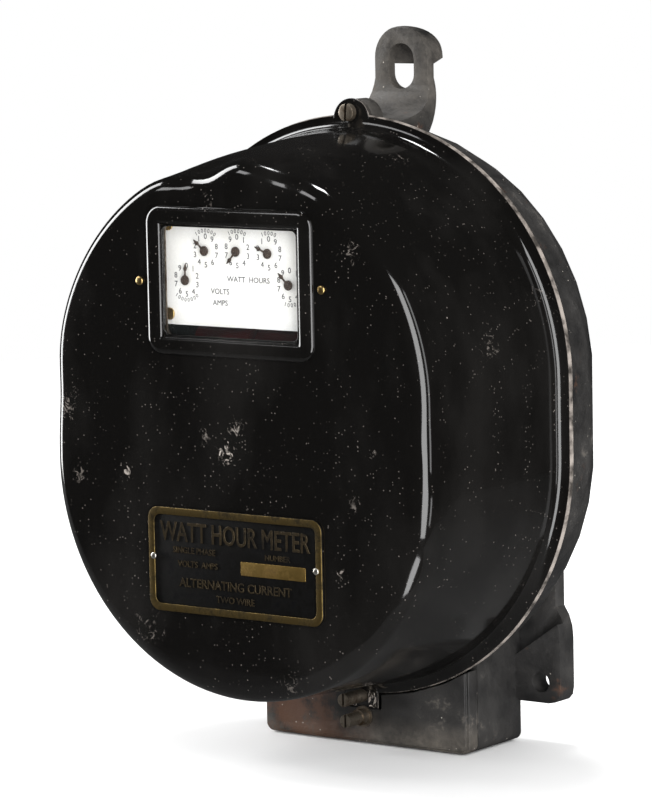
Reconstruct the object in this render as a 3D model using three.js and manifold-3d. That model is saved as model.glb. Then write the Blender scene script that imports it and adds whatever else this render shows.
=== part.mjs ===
// A wall-mounted induction watt-hour meter with five small dials, as an assembly of separate pieces.
// Millimetres. The wall is the plane y = 0, the front faces -Y, up is +Z, and the z = 0 level is
// the middle of the sheet-metal cover. Run it with the npm packages three and manifold-3d.
import * as THREE from "three";
import { mergeVertices } from "three/addons/utils/BufferGeometryUtils.js";
import Module from "manifold-3d";

const wasm = await Module();
wasm.setup();

// ---------------------------------------------------------------- driving dimensions
const GAP = 0.3; // left between pieces that touch
const STRAIGHT = 17.3; // half the straight side of every obround outline
const LIFT = 2; // the flange and the base are centred this far above the cover's face
const ROUND_STEPS = 40; // facets round an obround piece

const COVER = {
  face: -148.5,
  rim: 104.7,
  rimRadius: 8,
  root: 111.9,
  fillet: 5,
  flangeFace: -54.2,
  flange: 117.9,
  lipBack: -51.6,
  sheet: 1.2,
};
const WINDOW = { x: 38, low: 42.5, high: 92.5, corner: 4, bead: 8.5, beadHeight: 2.5 };
const NAMEPLATE = { x: 48.7, low: -83.3, high: -35.6, corner: 6, border: 4.5 };
const BASE = { rim: 115.6, rimFace: -50.9, flat: 79, bulge: 35, depth: 45, wall: 5 };
const GASKET = { inner: 110.9, outer: 116.4, front: -52.7, back: -51.2 };
const TOP_TAB = { halfWidth: 10, top: 144.7 };
const TOP_SCREW_Z = 138.3;
const SCREW_LUG_BACK = -42;
const COVER_STUD_Z = -134.5;
const BOTTOM_TAB_Z = -140;
const TERMINAL_SCREW_Z = -144.7;
const STUD_RADIUS = 3.1;
const STUD_REACH = 15;
const EAR = {
  halfWidth: 14.8, top: 176.2, front: -13.5, back: -8,
  slotX: 7.3, slotLow: 147, slotHigh: 168.2,
};
const LUG = { x: 72.5, z: -128.4, hole: 4.8, edge: 83.3, bottom: -138, front: -12 };
const BOX = { x: 58.5, bottom: -157.5, back: -8, seam: -44, coverFront: -52.4, wall: 3.5 };
const TERMINAL_X = [-38, -14, 14, 38];
const WIRE_Y = -28;

const SPINDLE_Y = -84;
const DISC = { radius: 38, z: 20, thickness: 1.2 };
const FRAME_FRONT = -24;
const FRAME_SCREWS = [
  [-40, 80],
  [40, -52],
];
const FRAME_PADS = [...FRAME_SCREWS, [40, 80], [-40, -52]];
const MAGNET = { front: -134, back: -98, low: -6, high: 46, inner: 2, outer: 32 };
const CORE = { front: -62, back: -48 };

const DIAL_FRONT = -142.5;
const REGISTER = { frontPlate: -139.5, backPlate: -121, sheet: 1.2, x: 46, low: 47.5, high: 98.5 };
const WHEEL_TEETH = 60;
const PINION_TEETH = 6;
const MODULE = 0.5333;
const FIRST_LAYER = -136.6;
const LAYER_PITCH = 3.1;
const ARBOR_RADIUS = 0.8;
// From the fastest dial to the slowest. The hand is in degrees clockwise from straight up.
const DIALS = [
  { name: "thousands", x: 28.9, z: 67.3, hand: -46 },
  { name: "ten_thousands", x: 17.7, z: 80.9, hand: -67 },
  { name: "hundred_thousands", x: 0, z: 81.2, hand: -138 },
  { name: "millions", x: -17.7, z: 80.9, hand: -50 },
  { name: "ten_millions", x: -28.9, z: 67.3, hand: 3 },
];
const WORM = { pitchRadius: 3, tipRadius: 3.6, coreRadius: 2, turns: 5 };
const WORM_WHEEL = { teeth: 40, pitchRadius: 11, tipRadius: 11.4, rootRadius: 10, z: 57.9 };
const WORM_WHEEL_X = WORM.pitchRadius + WORM_WHEEL.pitchRadius;

const FINISH = {
  enamel: { color: 0x17181a, roughness: 0.3, metalness: 0.2 },
  castIron: { color: 0x5d5852, roughness: 0.75, metalness: 0.4 },
  gasket: { color: 0x8d8170, roughness: 0.95, metalness: 0 },
  glass: { color: 0xdfe6e6, roughness: 0.05, metalness: 0 },
  brass: { color: 0xa98a52, roughness: 0.4, metalness: 1 },
  steel: { color: 0x8e8878, roughness: 0.5, metalness: 1 },
  dial: { color: 0xf4f4f0, roughness: 0.25, metalness: 0 },
  pointer: { color: 0x4a3f38, roughness: 0.5, metalness: 0.6 },
  magnet: { color: 0x5a1d1a, roughness: 0.5, metalness: 0.2 },
  iron: { color: 0x4b4a48, roughness: 0.6, metalness: 0.7 },
  aluminium: { color: 0xc9cbcc, roughness: 0.35, metalness: 1 },
  fibre: { color: 0x3a2b23, roughness: 0.9, metalness: 0 },
  cotton: { color: 0x6e2f22, roughness: 0.95, metalness: 0 },
};

// ---------------------------------------------------------------- solids
const DEGREE = Math.PI / 180;

// A closed geometry as a solid, with its faces turned outwards.
function solid(geometry) {
  const bare = geometry.index ? geometry.toNonIndexed() : geometry.clone();
  bare.deleteAttribute("normal");
  bare.deleteAttribute("uv");
  const merged = mergeVertices(bare, 1e-4);
  const vertProperties = new Float32Array(merged.attributes.position.array);
  const triVerts = new Uint32Array(merged.index.array);
  const made = new wasm.Manifold(new wasm.Mesh({ numProp: 3, vertProperties, triVerts }));
  if (made.volume() >= 0) return made;
  for (let i = 0; i < triVerts.length; i += 3) {
    [triVerts[i + 1], triVerts[i + 2]] = [triVerts[i + 2], triVerts[i + 1]];
  }
  return new wasm.Manifold(new wasm.Mesh({ numProp: 3, vertProperties, triVerts }));
}

function geometryOf(body) {
  const { numProp, vertProperties, triVerts } = body.getMesh();
  const positions = new Float32Array((vertProperties.length / numProp) * 3);
  for (let v = 0; v < positions.length / 3; v += 1) {
    positions.set(vertProperties.subarray(v * numProp, v * numProp + 3), v * 3);
  }
  const geometry = new THREE.BufferGeometry();
  geometry.setAttribute("position", new THREE.BufferAttribute(positions, 3));
  geometry.setIndex(new THREE.BufferAttribute(new Uint32Array(triVerts), 1));
  geometry.computeVertexNormals();
  return geometry;
}

const join = (first, ...others) => others.reduce((a, b) => a.add(b), first);
const cut = (first, ...others) => others.reduce((a, b) => a.subtract(b), first);

function box(x0, x1, y0, y1, z0, z1) {
  const geometry = new THREE.BoxGeometry(x1 - x0, y1 - y0, z1 - z0);
  return solid(geometry.translate((x0 + x1) / 2, (y0 + y1) / 2, (z0 + z1) / 2));
}

// A round bar along Y, from its front end to its back end.
function bar(x, z, radius, front, back, steps = 20, frontRadius = radius) {
  const geometry = new THREE.CylinderGeometry(radius, frontRadius, back - front, steps);
  return solid(geometry.translate(x, (front + back) / 2, z));
}

// A round bar along Z.
function post(x, y, radius, low, high, steps = 20) {
  const geometry = new THREE.CylinderGeometry(radius, radius, high - low, steps).rotateX(Math.PI / 2);
  return solid(geometry.translate(x, y, (low + high) / 2));
}

// A flat outline drawn in x and z, thick from front to back.
function plate(shape, front, back, curveSteps = 3) {
  const options = { depth: back - front, bevelEnabled: false, curveSegments: curveSteps };
  return solid(new THREE.ExtrudeGeometry(shape, options).rotateX(Math.PI / 2).translate(0, back, 0));
}

// A side profile drawn in y and z, thick from one x to another.
function sideProfile(shape, x0, x1, curveSteps = 6) {
  const options = { depth: x1 - x0, bevelEnabled: false, curveSegments: curveSteps };
  const turn = new THREE.Matrix4().makeBasis(
    new THREE.Vector3(0, 1, 0),
    new THREE.Vector3(0, 0, 1),
    new THREE.Vector3(1, 0, 0),
  );
  return solid(new THREE.ExtrudeGeometry(shape, options).applyMatrix4(turn).translate(x0, 0, 0));
}

function roundedRectangle(x0, x1, z0, z1, r) {
  const shape = new THREE.Shape();
  shape.moveTo(x0 + r, z0);
  shape.lineTo(x1 - r, z0);
  shape.absarc(x1 - r, z0 + r, r, -90 * DEGREE, 0);
  shape.absarc(x1 - r, z1 - r, r, 0, 90 * DEGREE);
  shape.absarc(x0 + r, z1 - r, r, 90 * DEGREE, 180 * DEGREE);
  shape.absarc(x0 + r, z0 + r, r, 180 * DEGREE, 270 * DEGREE);
  return shape;
}

// Profile points [radius, y] round part of an ellipse, in degrees from the +radius side.
function arc(centre, y, radius, depth, from, to, steps) {
  return Array.from({ length: steps + 1 }, (_, i) => {
    const angle = (from + ((to - from) * i) / steps) * DEGREE;
    return [centre + radius * Math.cos(angle), y + depth * Math.sin(angle)];
  });
}

// A profile [radius, y] turned round Y, then pulled apart along Z into an obround. Its flats, and so
// its width and height, lie on the true radius.
function obround(profile, liftAt = () => LIFT) {
  const halfStep = Math.PI / ROUND_STEPS;
  const points = profile.map(([r, y]) => new THREE.Vector2(r / Math.cos(halfStep), y));
  const geometry = new THREE.LatheGeometry(points, ROUND_STEPS, halfStep);
  const place = geometry.attributes.position;
  for (let i = 0; i < place.count; i += 1) {
    const radius = Math.hypot(place.getX(i), place.getZ(i));
    const pull = radius > 1e-3 ? Math.sign(place.getZ(i)) * STRAIGHT : 0;
    place.setZ(i, place.getZ(i) + pull + liftAt(place.getY(i)));
  }
  return solid(geometry);
}

// The largest body of a boolean's result, without any sliver that rounding left beside it.
const largest = (body) => body.decompose().reduce((a, b) => (b.volume() > a.volume() ? b : a));

const screwSlot = (x, z, reach, front, depth, width = 1.2) =>
  box(x - width / 2, x + width / 2, front - 1, front + depth, z - reach, z + reach);

const model = new THREE.Group();

function add(name, body, finish) {
  const mesh = new THREE.Mesh(geometryOf(body), new THREE.MeshStandardMaterial(FINISH[finish]));
  mesh.name = name;
  model.add(mesh);
}

// ---------------------------------------------------------------- the cover
const coverLift = (y) =>
  (LIFT * THREE.MathUtils.clamp(y - COVER.face, 0, COVER.flangeFace - COVER.face)) /
  (COVER.flangeFace - COVER.face);

function coverShell() {
  const { face, rim, rimRadius, root, fillet, flangeFace, flange, lipBack, sheet } = COVER;
  const rimY = face + rimRadius;
  const filletY = flangeFace - fillet;
  const shell = obround(
    [
      [0, face],
      ...arc(rim - rimRadius, rimY, rimRadius, rimRadius, -90, 0, 4),
      ...arc(root + fillet, filletY, fillet, fillet, 180, 90, 2),
      [flange, flangeFace],
      [flange, lipBack],
      [flange - 1, lipBack],
      ...arc(root + fillet, filletY, fillet + sheet, fillet + sheet, 90, 180, 2),
      ...arc(rim - rimRadius, rimY, rimRadius - sheet, rimRadius - sheet, 0, -90, 3),
      [0, face + sheet],
    ],
    coverLift,
  );
  const tabBack = flangeFace + sheet;
  const topTab = join(
    bar(0, TOP_TAB.top - TOP_TAB.halfWidth, TOP_TAB.halfWidth, flangeFace, tabBack, 28),
    box(-13, 13, flangeFace, tabBack, 131, 136),
  );
  const bottomTab = box(-9, 9, flangeFace, tabBack, BOTTOM_TAB_Z, -130.6);
  const notch = join(
    bar(0, COVER_STUD_Z, STUD_RADIUS + 0.6, flangeFace - 1, lipBack + 1, 20),
    box(-STUD_RADIUS - 0.6, STUD_RADIUS + 0.6, flangeFace - 1, lipBack + 1, -142, COVER_STUD_Z),
  );
  // The notch runs down through the bottom tab, so the cover comes forward off its fixed stud.
  return cut(
    join(cut(shell, ...coverRivetHoles()), topTab, bottomTab, windowBead()),
    bar(0, TOP_SCREW_Z, 2.7, flangeFace - 1, lipBack + 1, 16),
    notch,
    windowOpening(),
  );
}

function windowOpening() {
  const { x, low, high, corner } = WINDOW;
  return plate(roundedRectangle(-x, x, low, high, corner), COVER.face - 6, COVER.face + 6);
}

function windowBead() {
  const { x, low, high, bead, beadHeight } = WINDOW;
  const roll = 2.4;
  const edge = bead - roll;
  const outline = roundedRectangle(-x - edge, x + edge, low - edge, high + edge, 5);
  outline.holes.push(roundedRectangle(-x - roll, x + roll, low - roll, high + roll, 4));
  const options = { depth: 0.4, bevelThickness: beadHeight - 0.2, bevelSize: roll, bevelSegments: 2 };
  const ring = new THREE.ExtrudeGeometry(outline, { ...options, curveSegments: 3 });
  const middle = COVER.face + 0.3;
  return cut(
    solid(ring.rotateX(Math.PI / 2).translate(0, middle, 0)),
    box(-60, 60, COVER.face + COVER.sheet, COVER.face + 8, 20, 120),
  );
}

const WINDOW_RIVET = { x: 50.8, z: 66.7 };
const NAMEPLATE_RIVET = { x: 45.7, z: -58.3 };

const coverRivetHoles = () =>
  [-1, 1].flatMap((side) =>
    [WINDOW_RIVET, NAMEPLATE_RIVET].map(({ x, z }) =>
      bar(side * x, z, 1.3, COVER.face - 2, COVER.face + 2, 10),
    ),
  );

// A small domed rivet: its head stands on the surface, its shank runs back through it.
function rivet(x, z, headRadius, surface, shankEnd) {
  const foot = surface - GAP;
  const head = join(
    bar(x, z, headRadius, foot - 0.6, foot, 16),
    bar(x, z, headRadius, foot - 1.3, foot - 0.6, 16, headRadius * 0.55),
  );
  return join(head, bar(x, z, 0.95, foot - 0.2, shankEnd, 10));
}

function windowPieces() {
  const { x, low, high } = WINDOW;
  const glassFront = COVER.face + COVER.sheet + GAP;
  const glassBack = glassFront + 1.2;
  const retainerFront = glassBack + GAP;
  const pane = roundedRectangle(-x - 3, x + 3, low - 3, high + 3, 4);
  add("window_glass", plate(pane, glassFront, glassBack), "glass");
  const frame = roundedRectangle(-54, 54, low - 6, high + 5, 5);
  frame.holes.push(roundedRectangle(-x - 0.5, x + 0.5, low - 0.5, high + 0.5, 4));
  const holes = [-1, 1].map((side) =>
    bar(side * WINDOW_RIVET.x, WINDOW_RIVET.z, 1.3, retainerFront - 1, retainerFront + 2, 10),
  );
  add("window_retainer", cut(plate(frame, retainerFront, retainerFront + 0.8), ...holes), "steel");
  for (const [side, word] of [[-1, "left"], [1, "right"]]) {
    const end = retainerFront + 1;
    add(`window_rivet_${word}`, rivet(side * WINDOW_RIVET.x, WINDOW_RIVET.z, 2.1, COVER.face, end), "brass");
  }
}

function nameplatePieces() {
  const { x, low, high, corner, border } = NAMEPLATE;
  const back = COVER.face - GAP;
  const rim = roundedRectangle(-x, x, low, high, corner);
  rim.holes.push(roundedRectangle(-x + border, x - border, low + border, high - border, corner - 3));
  const body = join(
    plate(roundedRectangle(-x, x, low, high, corner), back - 0.7, back),
    plate(rim, back - 1.1, back - 0.5),
    plate(roundedRectangle(8, 41, -66, -52, 2), back - 1.1, back - 0.5),
  );
  const holes = [-1, 1].map((side) =>
    bar(side * NAMEPLATE_RIVET.x, NAMEPLATE_RIVET.z, 1.3, back - 3, back + 1, 10),
  );
  add("nameplate", cut(body, ...holes), "brass");
  for (const [side, word] of [[-1, "left"], [1, "right"]]) {
    const head = rivet(side * NAMEPLATE_RIVET.x, NAMEPLATE_RIVET.z, 2, back - 1.1, COVER.face + 2);
    add(`nameplate_rivet_${word}`, head, "steel");
  }
}

function coverScrews() {
  const headBack = COVER.flangeFace - 1.2; // clear of the fillet behind the head's lower edge
  const head = bar(0, TOP_SCREW_Z, 4.1, headBack - 3.3, headBack, 24);
  const shank = bar(0, TOP_SCREW_Z, 2.2, headBack - 0.5, SCREW_LUG_BACK - 1, 14);
  add("cover_screw_top", cut(join(head, shank), screwSlot(0, TOP_SCREW_Z, 6, headBack - 3.3, 1.3)), "steel");

  const front = COVER.flangeFace - STUD_REACH;
  const stud = join(
    bar(0, COVER_STUD_Z, STUD_RADIUS, front, GASKET.front - GAP, 20),
    bar(0, COVER_STUD_Z, 2, GASKET.front - 1, -40, 14),
  );
  add("cover_screw_bottom", cut(stud, screwSlot(0, COVER_STUD_Z, 5, front, 2)), "steel");
}

// ---------------------------------------------------------------- the cast base
function bowlOutline(shrink) {
  const { rim, rimFace, flat, bulge, depth, wall } = BASE;
  const inset = shrink ? wall : 0;
  const curve = arc(flat, -depth, bulge - inset, depth - inset, 90, 0, 5);
  if (shrink) return [[0, -wall], ...curve, [flat + bulge - wall, rimFace - 4], [0, rimFace - 4]];
  return [[0, 0], ...curve, [rim, rimFace + 3], [rim, rimFace], [0, rimFace]];
}

function ear() {
  const { halfWidth, top, front, back, slotX, slotLow, slotHigh } = EAR;
  const neck = 18;
  const outline = new THREE.Shape();
  outline.moveTo(-neck, 104);
  outline.lineTo(neck, 104);
  outline.lineTo(neck, 132);
  outline.quadraticCurveTo(halfWidth + 2.4, 143, halfWidth, 152);
  outline.absarc(0, top - halfWidth, halfWidth, 0, Math.PI);
  outline.lineTo(-halfWidth, 152);
  outline.quadraticCurveTo(-halfWidth - 2.4, 143, -neck, 132);

  const hookBack = -0.4;
  const side = new THREE.Shape();
  side.moveTo(-32, 104);
  side.lineTo(-18, 126);
  side.quadraticCurveTo(back, 139, back, 150);
  side.lineTo(back, 158.5);
  side.lineTo(hookBack, 161);
  side.lineTo(hookBack, 167);
  side.quadraticCurveTo(hookBack - 1, top - 1, back - 2, top);
  side.lineTo(front + 1, top);
  side.lineTo(front, top - 1);
  side.lineTo(front, 149);
  side.quadraticCurveTo(front - 1.5, 134.5, -44, 133.8);
  side.lineTo(-46, 130);
  side.lineTo(-46, 104);

  const slot = roundedRectangle(-slotX, slotX, slotLow, slotHigh, slotX - 0.2);
  return cut(
    plate(outline, -46, hookBack, 10).intersect(sideProfile(side, -neck, neck, 8)),
    plate(slot, front - 1, back, 5),
  );
}

function lug(side) {
  const { x, z, hole, edge, bottom, front } = LUG;
  const outline = new THREE.Shape();
  outline.moveTo(48, -80);
  outline.lineTo(48, -132);
  outline.lineTo(61, bottom);
  outline.lineTo(77, bottom);
  outline.quadraticCurveTo(edge, bottom, edge, bottom + 7);
  outline.lineTo(edge, -108);
  outline.quadraticCurveTo(edge, -99, 78.4, -93);
  outline.lineTo(78.4, -66);
  const thinned = new THREE.Shape();
  thinned.moveTo(58, -117);
  thinned.lineTo(90, -95);
  thinned.lineTo(90, -60);
  thinned.lineTo(58, -60);
  const body = cut(
    plate(outline, front, 0),
    plate(thinned, front - 1, -7.5),
    bar(x, z, hole, front - 1, 1, 20),
  );
  return side > 0 ? body : body.mirror([1, 0, 0]);
}

// The terminal chamber: an open-fronted tray under the bowl, with its wire holes.
function terminalChamber() {
  const { x, bottom, back, seam, wall } = BOX;
  const front = seam + GAP;
  return cut(
    box(-x, x, front, back, bottom, -96),
    box(-x + wall, x - wall, front - 1, back - wall, bottom + wall, -90),
    ...TERMINAL_X.map((tx) => post(tx, WIRE_Y, 5, bottom - 1, bottom + wall + 1, 14)),
  );
}

function baseCasting() {
  const cavity = obround(bowlOutline(true));
  const outside = obround(bowlOutline(false));
  const { halfWidth, top } = TOP_TAB;
  const screwLug = bar(0, top - halfWidth, halfWidth - 0.4, BASE.rimFace + 0.4, SCREW_LUG_BACK, 24);
  const stub = box(84, 95.5, -8, -0.4, -17, -6);
  const studPillar = box(-6, 6, BOX.coverFront + 1.9, -38, BOX.bottom + 2.1, -126);
  const studHoles = [COVER_STUD_Z, TERMINAL_SCREW_Z].map((z) => bar(0, z, 2.4, -60, -39, 12));
  const leadHoles = LEADS.map(({ x }) => post(x, LEAD_Y, 2.7, -136, -104, 10));
  const pads = FRAME_PADS.map(([x, z]) => bar(x, z, 6.5, FRAME_FRONT + 4 + GAP, -4, 16));
  const padHoles = FRAME_SCREWS.map(([x, z]) => bar(x, z, 2.1, FRAME_FRONT, -9, 10));
  const castOutside = join(outside, ear(), lug(1), lug(-1), stub);
  const whole = cut(
    join(
      cut(castOutside, cavity),
      cut(terminalChamber(), outside),
      screwLug,
      cut(studPillar, cavity),
      ...pads,
    ),
    bar(0, TOP_SCREW_Z, 2.6, BASE.rimFace - 1, SCREW_LUG_BACK + 1, 14),
    ...studHoles,
    ...padHoles,
    ...leadHoles,
  );
  return largest(whole);
}

// ---------------------------------------------------------------- the terminal chamber's pieces
function terminalCover() {
  const { x, bottom, seam, coverFront } = BOX;
  const sheet = 1.6;
  const body = cut(
    join(
      plate(roundedRectangle(-x + 1.4, x - 1.4, bottom + 1.4, -100, 3), coverFront, coverFront + sheet),
      box(-x, x, coverFront + 1.4, seam, bottom, -100),
    ),
    box(-x + sheet, x - sheet, coverFront + sheet, seam + 1, bottom + sheet, -90),
  );
  const clear = COVER.flange + 0.6;
  const flangeRoom = obround([[0, -70], [clear, -70], [clear, -30], [0, -30]]);
  return cut(
    body,
    flangeRoom,
    box(-9.8, 9.8, -60, -40, BOTTOM_TAB_Z - 0.8, -120),
    bar(0, TERMINAL_SCREW_Z, 2.5, -60, -40, 16),
  );
}

function terminalScrew() {
  const headBack = BOX.coverFront - GAP;
  const front = headBack - STUD_REACH;
  const body = join(
    bar(0, TERMINAL_SCREW_Z, 5, headBack - 0.8, headBack, 24),
    bar(0, TERMINAL_SCREW_Z, 3.9, headBack - 5, headBack - 0.6, 20),
    bar(0, TERMINAL_SCREW_Z, STUD_RADIUS, front, headBack - 4.8, 20),
    bar(0, TERMINAL_SCREW_Z, 2, headBack - 0.4, -40, 14),
  );
  return cut(body, screwSlot(0, TERMINAL_SCREW_Z, 5, front, 2));
}

const TERMINAL = { half: 5.5, front: -37, back: -21, low: -147, high: -136 };
const LEAD_Y = -20;
const LEADS = [
  { name: "lead_line", side: -1, x: -30, terminal: -38 },
  { name: "lead_load", side: 1, x: 30, terminal: 38 },
];

function terminalPieces() {
  const { half, front, back, low, high } = TERMINAL;
  const pockets = TERMINAL_X.map((x) =>
    box(x - half - GAP, x + half + GAP, front - 1, back + GAP, low - GAP, high + GAP),
  );
  const wireHoles = TERMINAL_X.map((x) => post(x, WIRE_Y, 3.5, low - 5, low + 1, 16));
  const leadHoles = LEADS.map(({ x }) => post(x, LEAD_Y, 1.6, -151, -132, 8));
  const block = box(-52, 52, front + 2, -13, -150, -134);
  add("terminal_block", cut(block, ...pockets, ...wireHoles, ...leadHoles), "fibre");

  TERMINAL_X.forEach((x, i) => {
    const body = cut(
      box(x - half, x + half, front, back, low, high),
      post(x, WIRE_Y, 3.2, low - 1, high - 3, 16),
      bar(x, (low + high) / 2, 1.9, front - 1, front + 5, 12),
    );
    add(`terminal_${i + 1}`, body, "brass");
    const head = front - GAP;
    const screw = join(
      bar(x, (low + high) / 2, 3.4, head - 2, head, 16),
      bar(x, (low + high) / 2, 1.5, head - 0.5, front + 4, 10),
    );
    const driverSlot = screwSlot(x, (low + high) / 2, 4, head - 2, 0.9, 0.9);
    add(`terminal_screw_${i + 1}`, cut(screw, driverSlot), "brass");
  });

  const stripLow = BOX.bottom + BOX.wall + GAP;
  const strip = box(-50, 50, WIRE_Y - 7, WIRE_Y + 7, stripLow, stripLow + 2);
  const stripHoles = TERMINAL_X.map((x) => post(x, WIRE_Y, 3.8, stripLow - 1, stripLow + 3, 16));
  add("wire_entry_strip", cut(strip, ...stripHoles), "fibre");
}

// An insulated lead from above the terminal block up into the bowl and forward to a current coil.
function lead({ side, x, terminal }) {
  const path = new THREE.CatmullRomCurve3([
    new THREE.Vector3(terminal, LEAD_Y - 6, -132.3),
    new THREE.Vector3(x + side * 3, LEAD_Y - 3, -130),
    new THREE.Vector3(x, LEAD_Y, -125),
    new THREE.Vector3(x, LEAD_Y, -110),
    new THREE.Vector3(side * 33, -25, -90),
    new THREE.Vector3(side * 36, -31, -60),
    new THREE.Vector3(side * 37, -35, -25),
    new THREE.Vector3(side * 33, -45, -5),
    new THREE.Vector3(side * 25.2, -52, -1),
  ]);
  const round = new THREE.Shape();
  round.absarc(0, 0, 1.2, 0, 2 * Math.PI);
  const options = { steps: 22, extrudePath: path, bevelEnabled: false, curveSegments: 4 };
  return solid(new THREE.ExtrudeGeometry(round, options));
}

// ---------------------------------------------------------------- the motor element
function mechanismFrame() {
  const back = FRAME_FRONT + 4;
  const backPlate = plate(roundedRectangle(-46, 46, -60, 92, 6), FRAME_FRONT, back);
  const lowerShelf = box(-9, 9, SPINDLE_Y - 8, FRAME_FRONT + 1, -60, -56);
  const upperShelf = box(-9, 20, SPINDLE_Y - 8, FRAME_FRONT + 1, 78, 82);
  const arborArm = box(WORM_WHEEL_X - 3, WORM_WHEEL_X + 3, -78.5, -75.5, 54, 80);
  const coreSeats = [
    box(-30, 30, CORE.back + GAP, FRAME_FRONT + 1, 62, 70),
    box(-20, 20, CORE.back + GAP, FRAME_FRONT + 1, -25, -17),
  ];
  const registerPosts = REGISTER_POSTS.map(([x, z]) =>
    bar(x, z, 3, REGISTER.backPlate + REGISTER.sheet + GAP, FRAME_FRONT + 1, 12),
  );
  return cut(
    join(backPlate, lowerShelf, upperShelf, arborArm, ...coreSeats, ...registerPosts),
    plate(roundedRectangle(-24, 24, -8, 22, 5), FRAME_FRONT - 1, back + 1),
    bar(WORM_WHEEL_X, WORM_WHEEL.z, ARBOR_RADIUS + GAP, -80, -74, 10),
    post(0, SPINDLE_Y, 3.3, -62, -50, 14),
    post(0, SPINDLE_Y, 2.8, 76, 84, 14),
    ...FRAME_SCREWS.map(([x, z]) => bar(x, z, 2.1, FRAME_FRONT - 1, back + 1, 10)),
  );
}

const REGISTER_POSTS = [
  [-41, 88],
  [41, 88],
  [-42, 53],
  [42, 53],
];

function frameScrew([x, z]) {
  const head = FRAME_FRONT - GAP;
  const body = join(bar(x, z, 3.6, head - 2.2, head, 16), bar(x, z, 1.7, head - 0.5, -12, 10));
  return cut(body, screwSlot(x, z, 5, head - 2.2, 1, 1));
}

// A C-shaped drag magnet: the disc's edge turns between its two pole tips.
function dragMagnet(side) {
  const { front, back, low, high, inner, outer } = MAGNET;
  const profile = new THREE.Shape();
  const round = 8;
  profile.moveTo(back, low);
  profile.lineTo(back, DISC.z - 2.6);
  profile.lineTo(back - 12, DISC.z - 2.6);
  profile.lineTo(back - 12, low + 12);
  profile.lineTo(front + 10, low + 12);
  profile.lineTo(front + 10, high - 12);
  profile.lineTo(back - 12, high - 12);
  profile.lineTo(back - 12, DISC.z + 2.6);
  profile.lineTo(back, DISC.z + 2.6);
  profile.lineTo(back, high);
  profile.lineTo(front + round, high);
  profile.quadraticCurveTo(front, high, front, high - round);
  profile.lineTo(front, low + round);
  profile.quadraticCurveTo(front, low, front + round, low);
  return side > 0 ? sideProfile(profile, inner, outer, 4) : sideProfile(profile, -outer, -inner, 4);
}

function magnetShelf() {
  const { front, back, low, outer } = MAGNET;
  const floor = low - GAP;
  return cut(
    join(
      box(-outer, outer, front, FRAME_FRONT - GAP, -36, -32),
      box(-outer, outer, front + 2, back - 2, -34, floor),
    ),
    post(0, SPINDLE_Y, 5, -40, -30, 14),
    box(-outer + 4, outer - 4, front, back, -28, -12),
  );
}

function voltageElement() {
  const { front, back } = CORE;
  const foot = DISC.z + 3.2;
  const core = cut(
    box(-32, 32, front, back, foot, 72),
    box(-22, -7, front - 1, back + 1, foot - 1, 60),
    box(7, 22, front - 1, back + 1, foot - 1, 60),
  );
  add("voltage_core", core, "iron");
  const coil = plate(roundedRectangle(-20.5, 20.5, -17, 17, 6), 29, 57).rotate([90, 0, 0]);
  const placed = coil.translate([0, (front + back) / 2, 0]);
  const hole = box(-7.4, 7.4, front - 0.4, back + 0.4, 20, 70);
  add("voltage_coil", cut(placed, hole), "cotton");
}

function currentElement() {
  const { front, back } = CORE;
  const top = DISC.z - 3.2;
  const core = cut(
    box(-20, 20, front, back, -28, top),
    box(-10, 10, front - 1, back + 1, -17, top + 1),
  );
  add("current_core", core, "iron");
  for (const [side, word] of [[-1, "left"], [1, "right"]]) {
    const outline = roundedRectangle(side * 15 - 9, side * 15 + 9, -15, 15, 4);
    const body = plate(outline, -14, 12).rotate([90, 0, 0]).translate([0, (front + back) / 2, 0]);
    const limb = box(side * 15 - 5.4, side * 15 + 5.4, front - 0.4, back + 0.4, -20, 20);
    add(`current_coil_${word}`, cut(body, limb), "cotton");
  }
}

function bearings() {
  const cup = post(0, SPINDLE_Y, 0.9, -51, -47, 10);
  const jewel = join(post(0, SPINDLE_Y, 3, -66, -48.5, 14), post(0, SPINDLE_Y, 4.5, -68, -64, 14));
  add("lower_bearing", cut(jewel, cup), "brass");
  const pin = join(post(0, SPINDLE_Y, 2.5, 73.5, 86, 14), post(0, SPINDLE_Y, 4.2, 84, 87, 14));
  add("upper_bearing", cut(pin, post(0, SPINDLE_Y, 0.9, 72, 76.5, 10)), "brass");
}

// A single-start thread wound round the spindle, as one closed ribbon of trapezoid section.
function wormThread() {
  const { tipRadius, coreRadius, turns } = WORM;
  const pitch = (2 * Math.PI * WORM_WHEEL.pitchRadius) / WORM_WHEEL.teeth;
  const section = [
    [coreRadius - 0.5, -0.36],
    [tipRadius, -0.2],
    [tipRadius, 0.2],
    [coreRadius - 0.5, 0.36],
  ];
  const perTurn = 10;
  const rings = turns * perTurn;
  const positions = [];
  for (let i = 0; i <= rings; i += 1) {
    const angle = ((i - rings / 2) / perTurn) * 2 * Math.PI;
    const rise = WORM_WHEEL.z + (pitch * angle) / (2 * Math.PI);
    for (const [r, dz] of section) {
      positions.push(r * Math.cos(angle), SPINDLE_Y + r * Math.sin(angle), rise + dz);
    }
  }
  const faces = [0, 1, 2, 0, 2, 3];
  for (let i = 0; i < rings; i += 1) {
    for (let k = 0; k < 4; k += 1) {
      const [a, b] = [4 * i + k, 4 * i + ((k + 1) % 4)];
      faces.push(a, a + 4, b, b, a + 4, b + 4);
    }
  }
  const last = 4 * rings;
  faces.push(last, last + 2, last + 1, last, last + 3, last + 2);
  const geometry = new THREE.BufferGeometry();
  geometry.setAttribute("position", new THREE.Float32BufferAttribute(positions, 3));
  geometry.setIndex(faces);
  return solid(geometry);
}

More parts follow.
